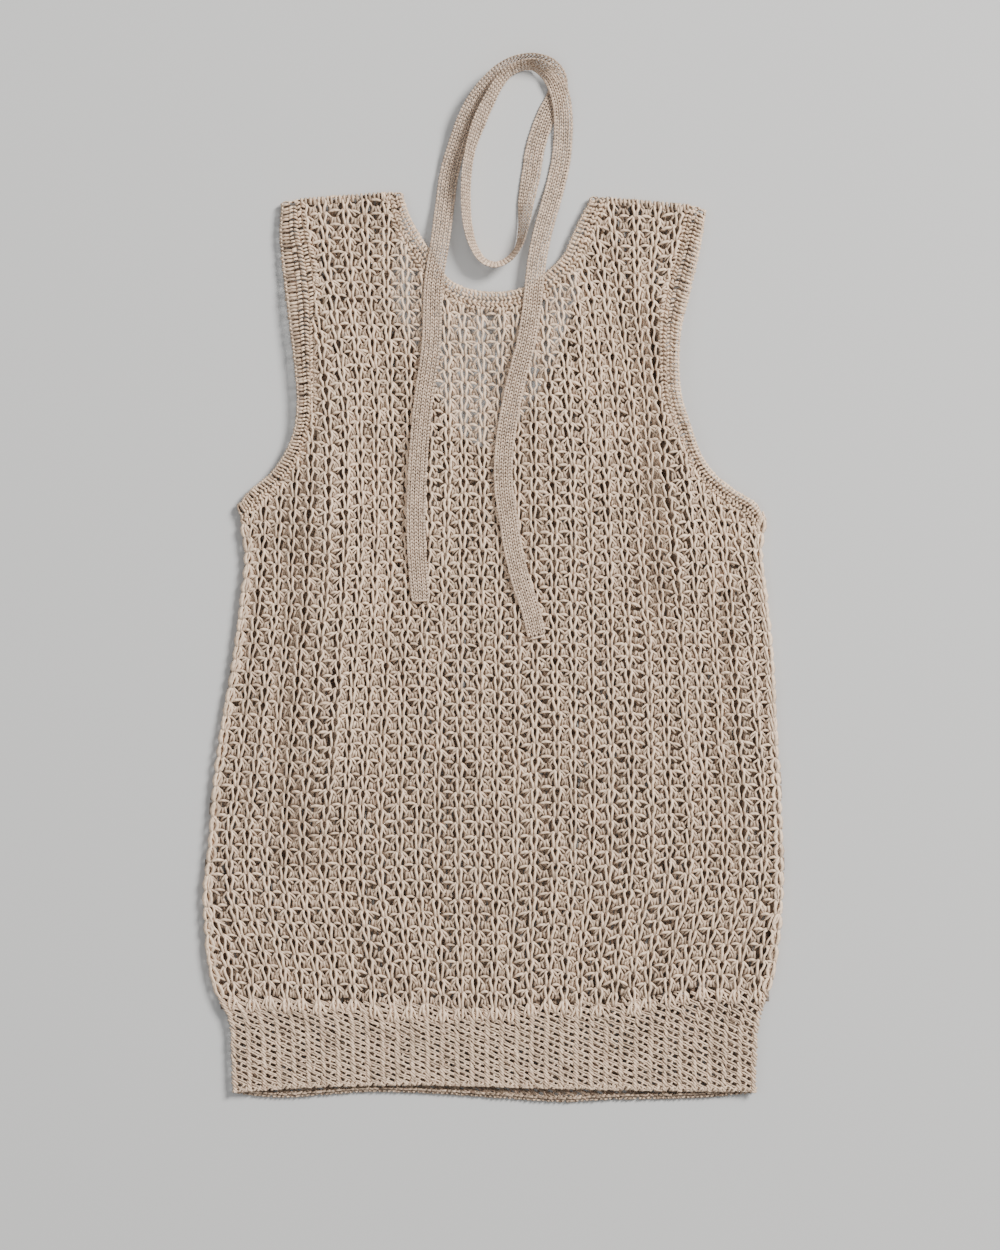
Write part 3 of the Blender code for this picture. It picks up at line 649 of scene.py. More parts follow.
@dataclass
class Strands:
    """The strands of one piece, gathered as closed tubes."""

    draw: np.random.Generator
    shade: float = 0.3  # painted shade: how much darker a strand is at its sides and underside than on its crown
    spread: float = 0.13  # how much the strands differ in size
    mottle: float = 0.13  # how much they differ in tone
    lightest: float = 1.1  # highest tone
    yarn_length: float = 50.0  # where along the yarn a strand may start
    co: list[Array] = field(default_factory=list)
    corners: list[Array] = field(default_factory=list)
    sizes: list[Array] = field(default_factory=list)
    run_uv: list[Array] = field(default_factory=list)
    tile_uv: list[Array] = field(default_factory=list)
    tone: list[Array] = field(default_factory=list)
    vertices: int = 0

    def add(self, path: Array, form: StrandForm, up: Array, height_shade: Array | float = 0.0) -> None:
        """Adds strands that have the same number of points.

        Args:
            path: Points (n, k, 3) in millimetres, as x, h and z.
            form: Their kind.
            up: The cloth's outward way at each point.
            height_shade: Painted shade: what the tone gains from the height, one value or k values.
        """
        n, k, _ = path.shape
        if not n:
            return
        sides = form.sides
        size = 1 + self.draw.uniform(-self.spread, self.spread, (n, 1))
        wide = np.broadcast_to(form.half_width, (n, k)) * size
        tall = np.broadcast_to(form.half_height, (n, k)) * size
        heading = unit(np.gradient(path, axis=1))
        across = unit(np.cross(heading, up))
        top = np.cross(across, heading)
        turn = math.tau * (np.arange(sides) / sides) + math.pi / 2
        ring = (
            path[:, :, None]
            + across[:, :, None] * (np.cos(turn)[:, None] * wide[:, :, None, None])
            + top[:, :, None] * (np.sin(turn)[:, None] * tall[:, :, None, None])
        )
        self.co.append(ring.reshape(-1, 3))
        # Painted shade: the crown keeps its tone, while the sides and the underside, turned away from
        # up, are painted darker
        crown = np.broadcast_to(form.tone + height_shade, (n, k)) + self.draw.normal(0, self.mottle, (n, 1))
        around = crown[..., None] + self.shade * (np.sin(turn) - 1)
        self.tone.append(np.clip(around, 0, self.lightest).reshape(-1))
        self.add_faces(n, k, sides)
        self.add_maps(path, turn)

    def add_faces(self, n: int, k: int, sides: int) -> None:
        """Adds the faces of strands: rows of four-sided ones, and one over each end.

        Args:
            n: Number of strands.
            k: Points along each.
            sides: Points round each.
        """
        first = self.vertices + np.arange(n)[:, None] * (k * sides)
        self.vertices += n * k * sides
        j = np.arange(sides)
        after = (j + 1) % sides
        r = np.arange(k - 1)[:, None] * sides
        quads = np.stack((r + j, r + after, r + sides + after, r + sides + j), -1).reshape(-1)
        caps = np.concatenate((j[::-1], (k - 1) * sides + j))
        self.corners.append((first + np.concatenate((quads, caps))).reshape(-1))
        sizes = np.concatenate((np.full((k - 1) * sides, 4), (sides, sides)))
        self.sizes.append(np.tile(sizes, n))

    def add_maps(self, path: Array, turn: Array) -> None:
        """Adds the two maps of strands: where the yarn runs, and the sheet for the bake.

        Args:
            path: Points (n, k, 3) of their middle lines.
            turn: The angle of each point round them.
        """
        n, k, _ = path.shape
        sides = len(turn)
        length = np.concatenate(
            (np.zeros((n, 1)), np.cumsum(np.linalg.norm(np.diff(path, axis=1), axis=2), 1)), 1
        )
        length = length + self.draw.uniform(0, self.yarn_length, (n, 1))
        row = np.repeat(np.arange(k - 1), sides)[:, None] + np.array((0, 0, 1, 1))
        slot = np.tile(np.arange(sides), k - 1)[:, None] + np.array((0, 1, 1, 0))
        run_v = np.concatenate(
            (length[:, row.reshape(-1)], np.repeat(length[:, :1], sides, 1),
             np.repeat(length[:, -1:], sides, 1)), 1
        )
        run_u = np.concatenate((slot.reshape(-1) / sides, np.full(2 * sides, 0.25)))
        self.run_uv.append(np.stack(np.broadcast_arrays(run_u, run_v), -1).reshape(-1, 2))
        # On the sheet for the bake each strand has a tile: its side, and below it its two ends
        spot = np.stack((np.cos(turn), np.sin(turn)), -1) * 0.045
        tile = np.concatenate(
            (np.stack((slot.reshape(-1) / sides * 0.9 + 0.05,
                       row.reshape(-1) / (k - 1) * 0.76 + 0.19), -1),
             spot[::-1] + (0.25, 0.09), spot + (0.75, 0.09))
        )
        self.tile_uv.append(np.broadcast_to(tile, (n, *tile.shape)))

    def build(self, name: str, material: bpy.types.Material) -> bpy.types.Object:
        """Joins the strands into one object.

        Args:
            name: The piece's name.
            material: Its yarn.

        Returns:
            The new object, in the scene.
        """
        mesh = bpy.data.meshes.new(name)
        co = np.concatenate(self.co)
        co[:, 1] -= ORIGIN_H
        co[:, 2] = np.maximum(co[:, 2], 0.0)
        corners = np.concatenate(self.corners)
        sizes = np.concatenate(self.sizes)
        mesh.vertices.add(len(co))
        mesh.vertices.foreach_set("co", (co * MM).ravel())
        mesh.loops.add(len(corners))
        mesh.loops.foreach_set("vertex_index", corners.astype(np.int32))
        mesh.polygons.add(len(sizes))
        starts = np.concatenate(((0,), np.cumsum(sizes)[:-1]))
        mesh.polygons.foreach_set("loop_start", starts.astype(np.int32))
        mesh.update(calc_edges=True)
        strands = sum(len(t) for t in self.tile_uv)
        grid = math.ceil(math.sqrt(strands))
        tiles, count = [], 0
        for part in self.tile_uv:
            number = count + np.arange(len(part))
            corner = np.stack((number % grid, number // grid), -1)[:, None]
            tiles.append(((part + corner) / grid).reshape(-1, 2))
            count += len(part)
        for layer, uv in (("OFBake", np.concatenate(tiles)), ("yarn_run", np.concatenate(self.run_uv))):
            mesh.uv_layers.new(name=layer).data.foreach_set("uv", uv.ravel())
        # This attribute holds each strand's own tone at random together with painted shade: darker
        # sides, undersides, low parts and hidden strands
        attribute = mesh.attributes.new("tone", "FLOAT", "POINT")
        attribute.data.foreach_set("value", np.concatenate(self.tone))
        mesh.shade_smooth()
        mesh.materials.append(material)
        obj = bpy.data.objects.new(name, mesh)
        bpy.context.scene.collection.objects.link(obj)
        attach(obj, "root")
        log.info("%s: %d strands, %d triangles", name, strands, int((sizes - 2).sum()))
        return obj


class Layer(Enum):
    """Which of the two layers a panel is."""

    UPPER = "back"
    LOWER = "front"


@dataclass(frozen=True)
class ClothPart:
    """Some rows of a panel that make one piece, and their flat size in metres."""

    name: str
    rows: range
    flat: tuple[float, float]
    area: float


@dataclass
class Openwork:
    """One body panel in openwork: columns of chain loops with bars and fans between them."""

    layer: Layer
    arms: tuple[dict, dict]
    neck: dict
    cell: CellForms
    finish: bpy.types.Material
    node: str
    parts: tuple[ClothPart, ...]
    row_gap: tuple[tuple[float, float], ...] = ((72, 10.5), (371, 9.25), (450, 9.6), (640, 9.7))
    cell_width: float = 12.5  # column pitch that the strands are drawn for
    under_band: float = 4.0  # how far a strand's middle may lie under the band
    knot_jitter: float = 0.35
    looseness: float = 0.1  # how much the strands' reach across differs
    wobble: float = 0.18
    height_shade: float = 0.16  # painted shade: how much lighter a strand is for each millimetre it stands higher
    seam_room: float = 1.2  # least distance of a strand's middle from the side seam
    gathered: float = 7.5  # how far down the lowest loops are drawn onto the hem
    shoulder_pitch: float = 2.9
    top: float = 645.0  # above every row of knots
    underarm: float = 401.0  # where the side seams end
    side_room: float = 1.6  # how far inside the side seams the knit keeps
    top_room: float = 0.8  # how far below the top edge of the shoulders
    thinner_by_band: tuple[float, float, float] = (2.5, 0.6, 1.7)  # reach, height spared, most
    thinner_by_edge: tuple[float, float, float] = (5.0, 0.5, 1.2)
    wander: tuple[float, float] = (0.22, 1.1)  # how much a column strays a row, and at most

    def rows(self) -> Array:
        """Spaces the rows of knots.

        Returns:
            Their heights, hem to shoulder.
        """
        gaps = np.array(self.row_gap)
        heights = [gaps[0, 0]]
        while heights[-1] < self.top:
            heights.append(heights[-1] + np.interp(heights[-1], gaps[:, 0], gaps[:, 1]))
        return np.array(heights)

    def knots(self, draw: np.random.Generator) -> Array:
        """Places the knots of the chains.

        Args:
            draw: Random numbers.

        Returns:
            Points (columns, rows, 2) as x and h.
        """
        columns = np.arange(-TURNED_IN, CHAINS + TURNED_IN, dtype=float)
        if self.layer is Layer.LOWER:
            columns += 0.5
        h = np.broadcast_to(self.rows(), (len(columns), len(self.rows()))).copy()
        u = np.broadcast_to(columns[:, None], h.shape)
        x = column_x(u, h)
        tilt = (curve_at(JUNCTION["x"], JUNCTION["h"], x) - 70) * (1 - smooth_step((h - 72) / 230))
        h = h + tilt + self.draw_stagger(draw, h.shape)
        x = column_x(u, h)
        stray, most = self.wander
        strays = np.cumsum(draw.normal(0, stray, x.shape), 1)
        x = x + np.clip(strays - strays.mean(1, keepdims=True), -most, most)
        knots = np.stack((x, h), -1)
        return knots + draw.normal(0, self.knot_jitter, knots.shape)

    def draw_stagger(self, draw: np.random.Generator, shape: tuple[int, int]) -> Array:
        """Draws how far the rows of each column are out of step, slowly changing along it.

        Args:
            draw: Random numbers.
            shape: Number of columns and of rows.

        Returns:
            How far each knot is moved up.
        """
        steps = np.cumsum(draw.normal(0, 0.35, shape), 1)
        steps -= steps.mean(1, keepdims=True)
        return draw.normal(0, 1.6, (shape[0], 1)) + np.clip(steps, -2.5, 2.5)

    def base(self, place: Array, z: Array) -> tuple[Array, Array]:
        """Puts points of the knit at their height over the surface.

        Args:
            place: Points (..., 2).
            z: Heights within the cloth, 0 at its underside.

        Returns:
            Points (..., 3) and the cloth's outward way at each.
        """
        panel = self.edge(0.0)
        line = panel[1:-1]
        past = np.where(inside(place, panel), 0.0, distance_to(place, line))
        left, right = side_x(place[..., 1])
        top = np.interp(place[..., 0], SHOULDER["x"], SHOULDER["h"])
        x = np.clip(place[..., 0], left + self.side_room, right - self.side_room)
        h = np.minimum(place[..., 1], top - self.top_room)
        room = np.minimum(np.minimum(x - left, right - x), top - h)
        place = np.stack((x, h), -1)
        # The knit is thinner under a band, and where it turns over the edge of the panel
        reach, spared, most = self.thinner_by_band
        z = z - smooth_step(past / reach) * np.clip(z - spared, 0, most)
        reach, spared, most = self.thinner_by_edge
        z = z - (1 - smooth_step(room / reach)) * np.clip(z - spared, 0, most)
        # The front faces the floor: its strands' painted shade falls on their upper, inner side, which
        # shows through the back's holes
        if self.layer is Layer.LOWER:
            height = (LOWER_BASE + CLOTH_HEIGHT - z)[..., None]
            points = np.concatenate((place, height), -1)
            return points, np.broadcast_to(np.array((0.0, 0.0, -1.0)), points.shape)
        slope = cloth_slope(place)
        height = (UPPER_BASE + fold_lift(place) + z)[..., None]
        points = np.concatenate((place - slope * z[..., None], height), -1)
        return points, np.concatenate((-slope, np.ones_like(height)), -1)

    def edge(self, share: float) -> Array:
        """Draws the panel's closed outline.

        Args:
            share: How far into its bands it goes, 0 at the panel and 1 at their free edge.

        Returns:
            Corners (n, 2).
        """
        left, neck, right = (
            band_line(band, share) for band in (self.arms[0], self.neck, self.arms[1])
        )
        return np.concatenate((PAST_LEFT, left, neck, right[::-1], PAST_RIGHT))

    def strand(
        self, yarn: Strands, anchor: Array, across: Array, down: Array, form: StrandForm
    ) -> None:
        """Adds one strand of every cell, with its points across and a share of a row down.

        Args:
            yarn: Where the strands go.
            anchor: The cells' anchors (n, 2).
            across: Vectors across the cell, as long as its scale.
            down: Vectors down to the next row.
            form: The strand's kind.
        """
        points = np.array(form.points)
        n, k = len(anchor), len(points)
        wobble = yarn.draw.normal(0, self.wobble, (n, k, 1))
        reach = 1 + yarn.draw.normal(0, self.looseness, (n, 1, 1))
        place = (
            anchor[:, None]
            + across[:, None] * (points[:, 0, None] * reach + wobble)
            + down[:, None] * points[:, 1, None]
        )
        middle = place[:, k // 2]
        panel = self.edge(0.0)
        kept = inside(middle, panel) | (
            inside(middle, self.edge(0.9)) & (distance_to(middle, panel[1:-1]) < self.under_band)
        )
        left, right = side_x(middle[:, 1])
        kept &= np.minimum(middle[:, 0] - left, right - middle[:, 0]) > self.seam_room
        kept &= yarn.draw.random(n) < form.chance
        z = points[:, 2] + yarn.draw.normal(0, 0.08, (n, k))
        place, up = self.base(place[kept], z[kept])
        yarn.add(place, form, up, self.height_shade * (points[:, 2] - 2.0))

    def knit(self, yarn: Strands, knots: Array, rows: range) -> None:
        """Adds the strands of the cells of some rows.

        Args:
            yarn: Where the strands go.
            knots: All knots of the panel.
            rows: Numbers of the rows.
        """
        grid = knots[:, rows.start - 1 : rows.stop]
        here, below = grid[:, 1:].reshape(-1, 2), grid[:, :-1].reshape(-1, 2)
        down = below - here
        level = unit(np.stack((-down[:, 1], down[:, 0]), -1))
        for sign in (-1, 1):
            for form in self.cell.halves:
                self.strand(yarn, here, level * sign, down, form)

        middle = (grid[:-1] + grid[1:]) / 2
        centre, below = middle[:, 1:].reshape(-1, 2), middle[:, :-1].reshape(-1, 2)
        across = (grid[1:, 1:] - grid[:-1, 1:]).reshape(-1, 2) / self.cell_width
        for form in self.cell.between:
            self.strand(yarn, centre, across, below - centre, form)
        if rows.start == 1:
            self.gather(yarn, knots[:, 0])

    def gather(self, yarn: Strands, last: Array) -> None:
        """Draws the lowest loops together onto the hem.

        Args:
            yarn: Where the strands go.
            last: The lowest knots (n, 2).
        """
        down = np.broadcast_to((0.0, -self.gathered), last.shape)
        for sign in (-1.0, 1.0) if self.layer is Layer.UPPER else (1.0,):
            across = np.broadcast_to((sign, 0.0), last.shape)
            for form in self.cell.lowest:
                self.strand(yarn, last, across, down, form)

    def seams(self, yarn: Strands, knots: Array) -> None:
        """Adds the chains of long loops that close the side seams.

        Args:
            yarn: Where the strands go.
            knots: The knots of the rows that are sewn.
        """
        for column, sign in ((TURNED_IN, -1), (CHAINS - 1 + TURNED_IN, 1)):
            h = knots[column, :, 1][knots[column, :, 1] < self.underarm]
            for z, lag, lean, inset, girth, loops in zip(*SEAM_TIERS.values()):
                for inward in SEAM_LOOPS[: int(loops)]:
                    path = []
                    for off, share in zip(inward, SEAM_SHARES):
                        at = h[:-1] + np.diff(h) * (share + lag)
                        seam = side_x(at)[0 if sign < 0 else 1]
                        path.append(np.stack((seam - sign * (off + inset), at, np.full_like(at, z)), -1))
                    path = np.stack(path, 1)
                    path = path + yarn.draw.normal(0, 0.12, path.shape)
                    up = np.broadcast_to((float(sign), 0.0, lean), path.shape)
                    yarn.add(path, StrandForm((), SEAM_GIRTH * girth, 0.8), up)

    def shoulders(self, yarn: Strands) -> None:
        """Adds the stitches that close the shoulders over their top edge.

        Args:
            yarn: Where the strands go.
        """
        stitch = SHOULDER_STITCH
        for start, end in SHOULDER_SPANS:
            x = np.arange(start, end, self.shoulder_pitch)
            x = (x + yarn.draw.normal(0, 0.2, len(x)))[:, None]
            top = np.interp(x, SHOULDER["x"], SHOULDER["h"])
            path = np.stack(np.broadcast_arrays(x + stitch["lean"], top + stitch["h"], stitch["z"]), -1)
            up = np.stack((np.zeros(5), stitch["up_h"], stitch["up_z"]), -1)
            yarn.add(path, SHOULDER_GIRTH, np.broadcast_to(up, path.shape))

    def declare(self, piece: bpy.types.Object, node: str) -> None:
        """Hides the solid of the node that a piece stands for.

        Args:
            piece: The piece; not used.
            node: The node's name.
        """
        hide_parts(node)

    def build(self) -> None:
        """Builds the panel in pieces of a fit size."""
        draw = np.random.default_rng(SEED + (0 if self.layer is Layer.UPPER else 1))
        knots = self.knots(draw)
        for part in self.parts:
            yarn = Strands(draw)
            rows = range(part.rows.start, min(part.rows.stop, knots.shape[1]))
            self.knit(yarn, knots, rows)
            if self.layer is Layer.UPPER:
                self.seams(yarn, knots[:, rows.start - 1 : rows.stop])
            if self.layer is Layer.UPPER and rows.stop == knots.shape[1]:
                self.shoulders(yarn)
            self.declare(yarn.build(part.name, self.finish), self.node)


@dataclass
class HemRib:
    """The ribbed hem of one layer: upright ribs of short slanted stitches."""

    layer: Layer
    low_edge: dict
    finish: bpy.types.Material
    flat: tuple[float, float]
    area: float
    ribs: int = 36
    rows: int = 14
    inset: float = 0.8
    tuck: float = 3.0  # how far the top row reaches over the body's lowest loops
    row_jitter: float = 0.05
    rib_jitter: float = 0.035

    def place(self, u: Array, level: Array) -> Array:
        """Finds points of the hem.

        Args:
            u: Rib numbers.
            level: 0 at the cast-on edge and 1 at the junction.

        Returns:
            Points (..., 2).
        """
        across = (u + 0.25) / (self.ribs - 0.5)
        h = np.full(np.broadcast(u, level).shape, 40.0)
        for _ in range(3):
            left, right = side_x(h)
            x = left + self.inset + (right - left - 2 * self.inset) * across
            low = curve_at(self.low_edge["x"], self.low_edge["h"], x)
            high = curve_at(JUNCTION["x"], JUNCTION["h"], x) + self.tuck
            h = low + (high - low) * level
        return np.stack((x, h), -1)

    def stitch(
        self, yarn: Strands, u: Array, row: Array, form: StrandForm, outward: float = 1.0
    ) -> None:
        """Adds one strand of every stitch, with its points in shares of a rib and rows up.

        Args:
            yarn: Where the strands go.
            u: Rib number of each stitch.
            row: Row number of each stitch.
            form: The strand's kind.
            outward: 1 where the side left light by the painted shade is up and -1 where it is down.
        """
        points = np.array(form.points)
        shape = len(u), len(points)
        up_by = points[:, 1] + yarn.draw.normal(0, self.row_jitter, shape)
        level = np.clip((row[:, None] + 0.5 + up_by) / self.rows, 0.004, 1.02)
        across = points[:, 0] + yarn.draw.normal(0, self.rib_jitter, shape)
        place = self.place(u[:, None] + across, level)
        z = points[:, 2] + yarn.draw.normal(0, 0.1, shape)
        z = UPPER_BASE + z if self.layer is Layer.UPPER else CLOTH_HEIGHT - z
        path = np.concatenate((place, z[..., None]), -1)
        yarn.add(path, form, np.broadcast_to((0.0, 0.0, outward), path.shape))

    def ribs_and_gaps(self, yarn: Strands) -> None:
        """Adds the upright ridges, the slants between them and the tacks over the gaps.

        Args:
            yarn: Where the strands go.
        """
        upper = self.layer is Layer.UPPER
        # The lower hem's strands face down, so their painted shade falls on the inner side seen through
        # the back hem
        sides, outward = (5, 1.0) if upper else (4, -1.0)
        rib, row = (a.reshape(-1).astype(float) for a in np.meshgrid(
            np.arange(self.ribs), np.arange(self.rows), indexing="ij"))
        row = row + np.repeat(yarn.draw.uniform(-0.3, 0.3, self.ribs), self.rows)
        for lag in (0.0, 0.5):
            ridge = ((-0.16, 0.46 - lag, 1.9), (-0.01, 0.06 - lag, 2.4), (0.14, -0.4 - lag, 2.0))
            self.stitch(yarn, rib, row, StrandForm(ridge, 0.82, 0.58, 0.9, sides), outward)
        gap = rib < self.ribs - 1
        rib, row = rib[gap], row[gap]
        for lag, low in ((0.0, 0.0), (0.3, -0.15)):
            slant = ((0.1, 0.52 - lag, 1.9 + low), (0.34, 0.3 - lag, 2.1 + low),
                     (0.62, -0.04 - lag, 2.0 + low), (0.92, -0.34 - lag, 1.8 + low))
            form = StrandForm(slant, 0.63, 0.52, 0.88, sides)
            if not upper:
                form = StrandForm(slant[::3], 0.8, 0.52, 0.88, sides)
            self.stitch(yarn, rib, row, form, outward)
        tack = StrandForm(((0.4, -0.78, 1.7), (0.49, -0.55, 2.15), (0.57, -0.3, 1.8)),
                          0.8, 0.46, 0.85, 4)
        self.stitch(yarn, rib + yarn.draw.normal(0, 0.07, len(rib)), row, tack, outward)

    def cast_on(self, yarn: Strands) -> None:
        """Adds the close stitches of the lowest edge, over it and beneath it.

        Args:
            yarn: Where the strands go.
        """
        count = self.ribs * 3
        u = np.linspace(0, self.ribs - 1, count)
        over = StrandForm(((-0.16, -0.45, 1.0), (0.0, -0.3, 2.3), (0.16, 0.25, 1.6)), 0.8, 0.62, 0.8)
        # The strand beneath the edge is painted darker, as shade
        beneath = StrandForm(((-0.17, 0.0, 0.9), (0.17, 0.0, 0.9)), 0.9, 0.7, 0.5)
        self.stitch(yarn, u, np.zeros(count), over)
        self.stitch(yarn, u, np.zeros(count), beneath)

    def build(self) -> None:
        """Builds the hem and hides the solid that it replaces."""
        upper = self.layer is Layer.UPPER
        yarn = Strands(np.random.default_rng(SEED + (2 if upper else 3)), shade=0.4)
        self.ribs_and_gaps(yarn)
        self.cast_on(yarn)
        name, node = ("yarn_back_hem", "back_hem_rib") if upper else ("yarn_front_hem", "front_hem_rib")
        piece = yarn.build(name, self.finish)
        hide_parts(node)


@dataclass
class EdgeBand:
    """A knitted band sewn all round an opening, over its shoulder and underarm or shoulder."""

    name: str
    node: str
    upper: dict
    lower: dict
    finish: bpy.types.Material
    flat: tuple[float, float]
    area: float
    rim: float = 0.34  # share of the band under the stitches that turn over its edge
    chains: int = 2  # knit columns along the rest of it
    lean: float = 0.7  # half the way that a stitch's leg runs along the band
    stitch: float = 3.0
    # Painted light: the tones of the turned edge and of the inner columns are set per band, lighter on
    # the side that faces the lamp and darker on the other
    edge_tone_and_light: float = 0.85
    inner_tone_and_light: float = 1.0
    seam_gap: float = 0.3  # between its two walls
    fold_room: float = 0.8  # how much wider than that the turn is
    wall: float = 3.0  # its thickness
    sections: int = 90  # on the back, and again on the front

    def ring(self) -> dict[str, Array]:
        """Lays out the band's sections round the opening.

        Returns:
            For each section its free and panel edge, way out, angle, lift and place along.
        """
        back, front = (
            [band_line(band, share) for share in (1.0, 0.0)] for band in (self.upper, self.lower)
        )
        free, panel = back
        ways = []
        for end, beside in ((0, 1), (-1, -2)):
            across = panel[end] - free[end]
            way = unit(np.array((-across[1], across[0])))
            ways.append(way if way @ (free[end] - free[beside]) > 0 else -way)
        first, last = ways
        inset = self.seam_gap / 2 + self.fold_room + self.wall
        for line, beneath in zip(back, front):
            line[0] -= first * inset
            line[-1] -= last * inset
            beneath[0], beneath[-1] = line[0], line[-1]
        over, under = self.even(free, panel), self.even(*front)[::-1]
        turns = np.linspace(0, 180, 9)[1:-1]  # degrees, where the band turns from back to front
        rows = [(f, p, last, 0.0, float(fold_lift((f + p) / 2))) for f, p in over]
        rows += [(free[-1], panel[-1], last, turn, 0.0) for turn in turns]
        rows += [(f, p, last, 180.0, 0.0) for f, p in under[: self.sections // 2]]
        rows += [(f, p, first, 180.0, 0.0) for f, p in under[self.sections // 2 :]]
        rows += [(free[0], panel[0], first, turn, 0.0) for turn in turns[::-1]]
        rows.append((*rows[0][:2], first, 0.0, rows[0][-1]))
        ring = dict(zip(("free", "panel", "way", "angle", "lift"), map(np.array, zip(*rows))))
        ring["angle"] = np.radians(ring["angle"])
        ring["along"] = self.along(ring)
        return ring

    def even(self, free: Array, panel: Array) -> list[tuple[Array, Array]]:
        """Spaces a free and a panel edge evenly.

        Args:
            free: Corners (n, 2) of the free edge.
            panel: Those of the panel's edge.

        Returns:
            A point of each edge for every section.
        """
        steps = np.linalg.norm(np.diff((free + panel) / 2, axis=0), axis=1)
        along = np.concatenate(((0.0,), np.cumsum(steps)))
        at = np.linspace(0, along[-1], self.sections)
        return list(zip(*(
            np.stack([curve_at(along, column, at) for column in line.T], 1)
            for line in (free, panel)
        )))

    def along(self, ring: dict[str, Array]) -> Array:
        """Measures the way round the ring at the middle of the wall.

        Args:
            ring: The band's sections.

        Returns:
            How far round each section lies.
        """
        middle = self.point(ring, np.full(len(ring["free"]), 0.5), np.full(len(ring["free"]), 1.5))
        steps = np.linalg.norm(np.diff(middle, axis=0), axis=1)
        return np.concatenate(((0.0,), np.cumsum(steps)))

    def point(self, at: dict[str, Array], share: Array, out: Array) -> Array:
        """Finds points of the band.

        Args:
            at: The sections' values at each point.
            share: 0 at the free edge and 1 at the panel.
            out: Height over the band's inner side.

        Returns:
            Points (..., 3).
        """
        turn = at["angle"]
        flat = at["free"] + (at["panel"] - at["free"]) * share[..., None]
        reach = self.seam_gap / 2 + out
        flat = flat + at["way"] * (reach * np.sin(turn) + self.fold_room * np.sin(turn))[..., None]
        z = MIDDLE_Z + at["lift"] + reach * np.cos(turn)
        return np.concatenate((flat, z[..., None]), -1)

    def strand(
        self, yarn: Strands, ring: dict[str, Array], start: Array, form: StrandForm
    ) -> None:
        """Adds one strand of every stitch, with its points along and a share across the band.

        Args:
            yarn: Where the strands go.
            ring: The band's sections.
            start: Where each stitch stands along the ring.
            form: The strand's kind.
        """
        points = np.array(form.points)
        shape = len(start), len(points)
        along = ring["along"]
        s = (start[:, None] + points[:, 0] + yarn.draw.normal(0, 0.15, shape)) % along[-1]
        at = {key: read_line(s, along, values) for key, values in ring.items()}
        share = points[:, 1] + yarn.draw.normal(0, 0.012, shape)
        out = points[:, 2] + yarn.draw.normal(0, 0.08, shape)
        path = self.point(at, share, out)
        yarn.add(path, form, self.point(at, share, out + 1.0) - path)

    def build(self) -> None:
        """Builds the band and hides the solid that it replaces."""
        draw = np.random.default_rng(SEED + sum(map(ord, self.name)))
        yarn = Strands(draw, shade=0.4)
        ring, rim = self.ring(), self.rim
        total = ring["along"][-1]
        count = round(total / self.stitch)
        start = np.arange(count) * total / count + draw.normal(0, 0.2, count)
        lumps = np.array((0.85, 1.12, 0.9, 1.1, 0.8))
        edge = ((0.5, rim, 2.0), (0.2, rim * 0.6, 2.6), (-0.1, 0.1, 2.1), (0.0, 0.0, 1.0),
                (0.0, 0.02, 0.5))
        self.strand(yarn, ring, start, StrandForm(
            edge, 0.36 * self.stitch * lumps, 0.62 * lumps, self.edge_tone_and_light))
        wide = (1.03 - rim) / self.chains
        for i in range(self.chains):
            mid = rim + wide * (i + 0.5)
            lag = draw.uniform(0, self.stitch)
            for side in (-1, 1):
                leg = ((-self.lean, mid + side * wide * 0.5, 1.9),
                       (0.2, mid + side * wide * 0.32, 2.7),
                       (self.lean, mid + side * wide * 0.06, 2.1))
                beat = draw.normal(0, 0.22, count)
                self.strand(yarn, ring, start + lag + beat, StrandForm(
                    leg, 0.3 * self.stitch, 0.62, self.inner_tone_and_light))
        tooth = StrandForm(((-1.2, 0.1, 1.4), (0.0, 0.02, 1.9), (1.2, 0.1, 1.4)), 0.65, 0.55, 0.95)
        self.strand(yarn, ring, start + self.stitch / 2, tooth)
        piece = yarn.build(self.name, self.finish)
        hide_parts(self.node)


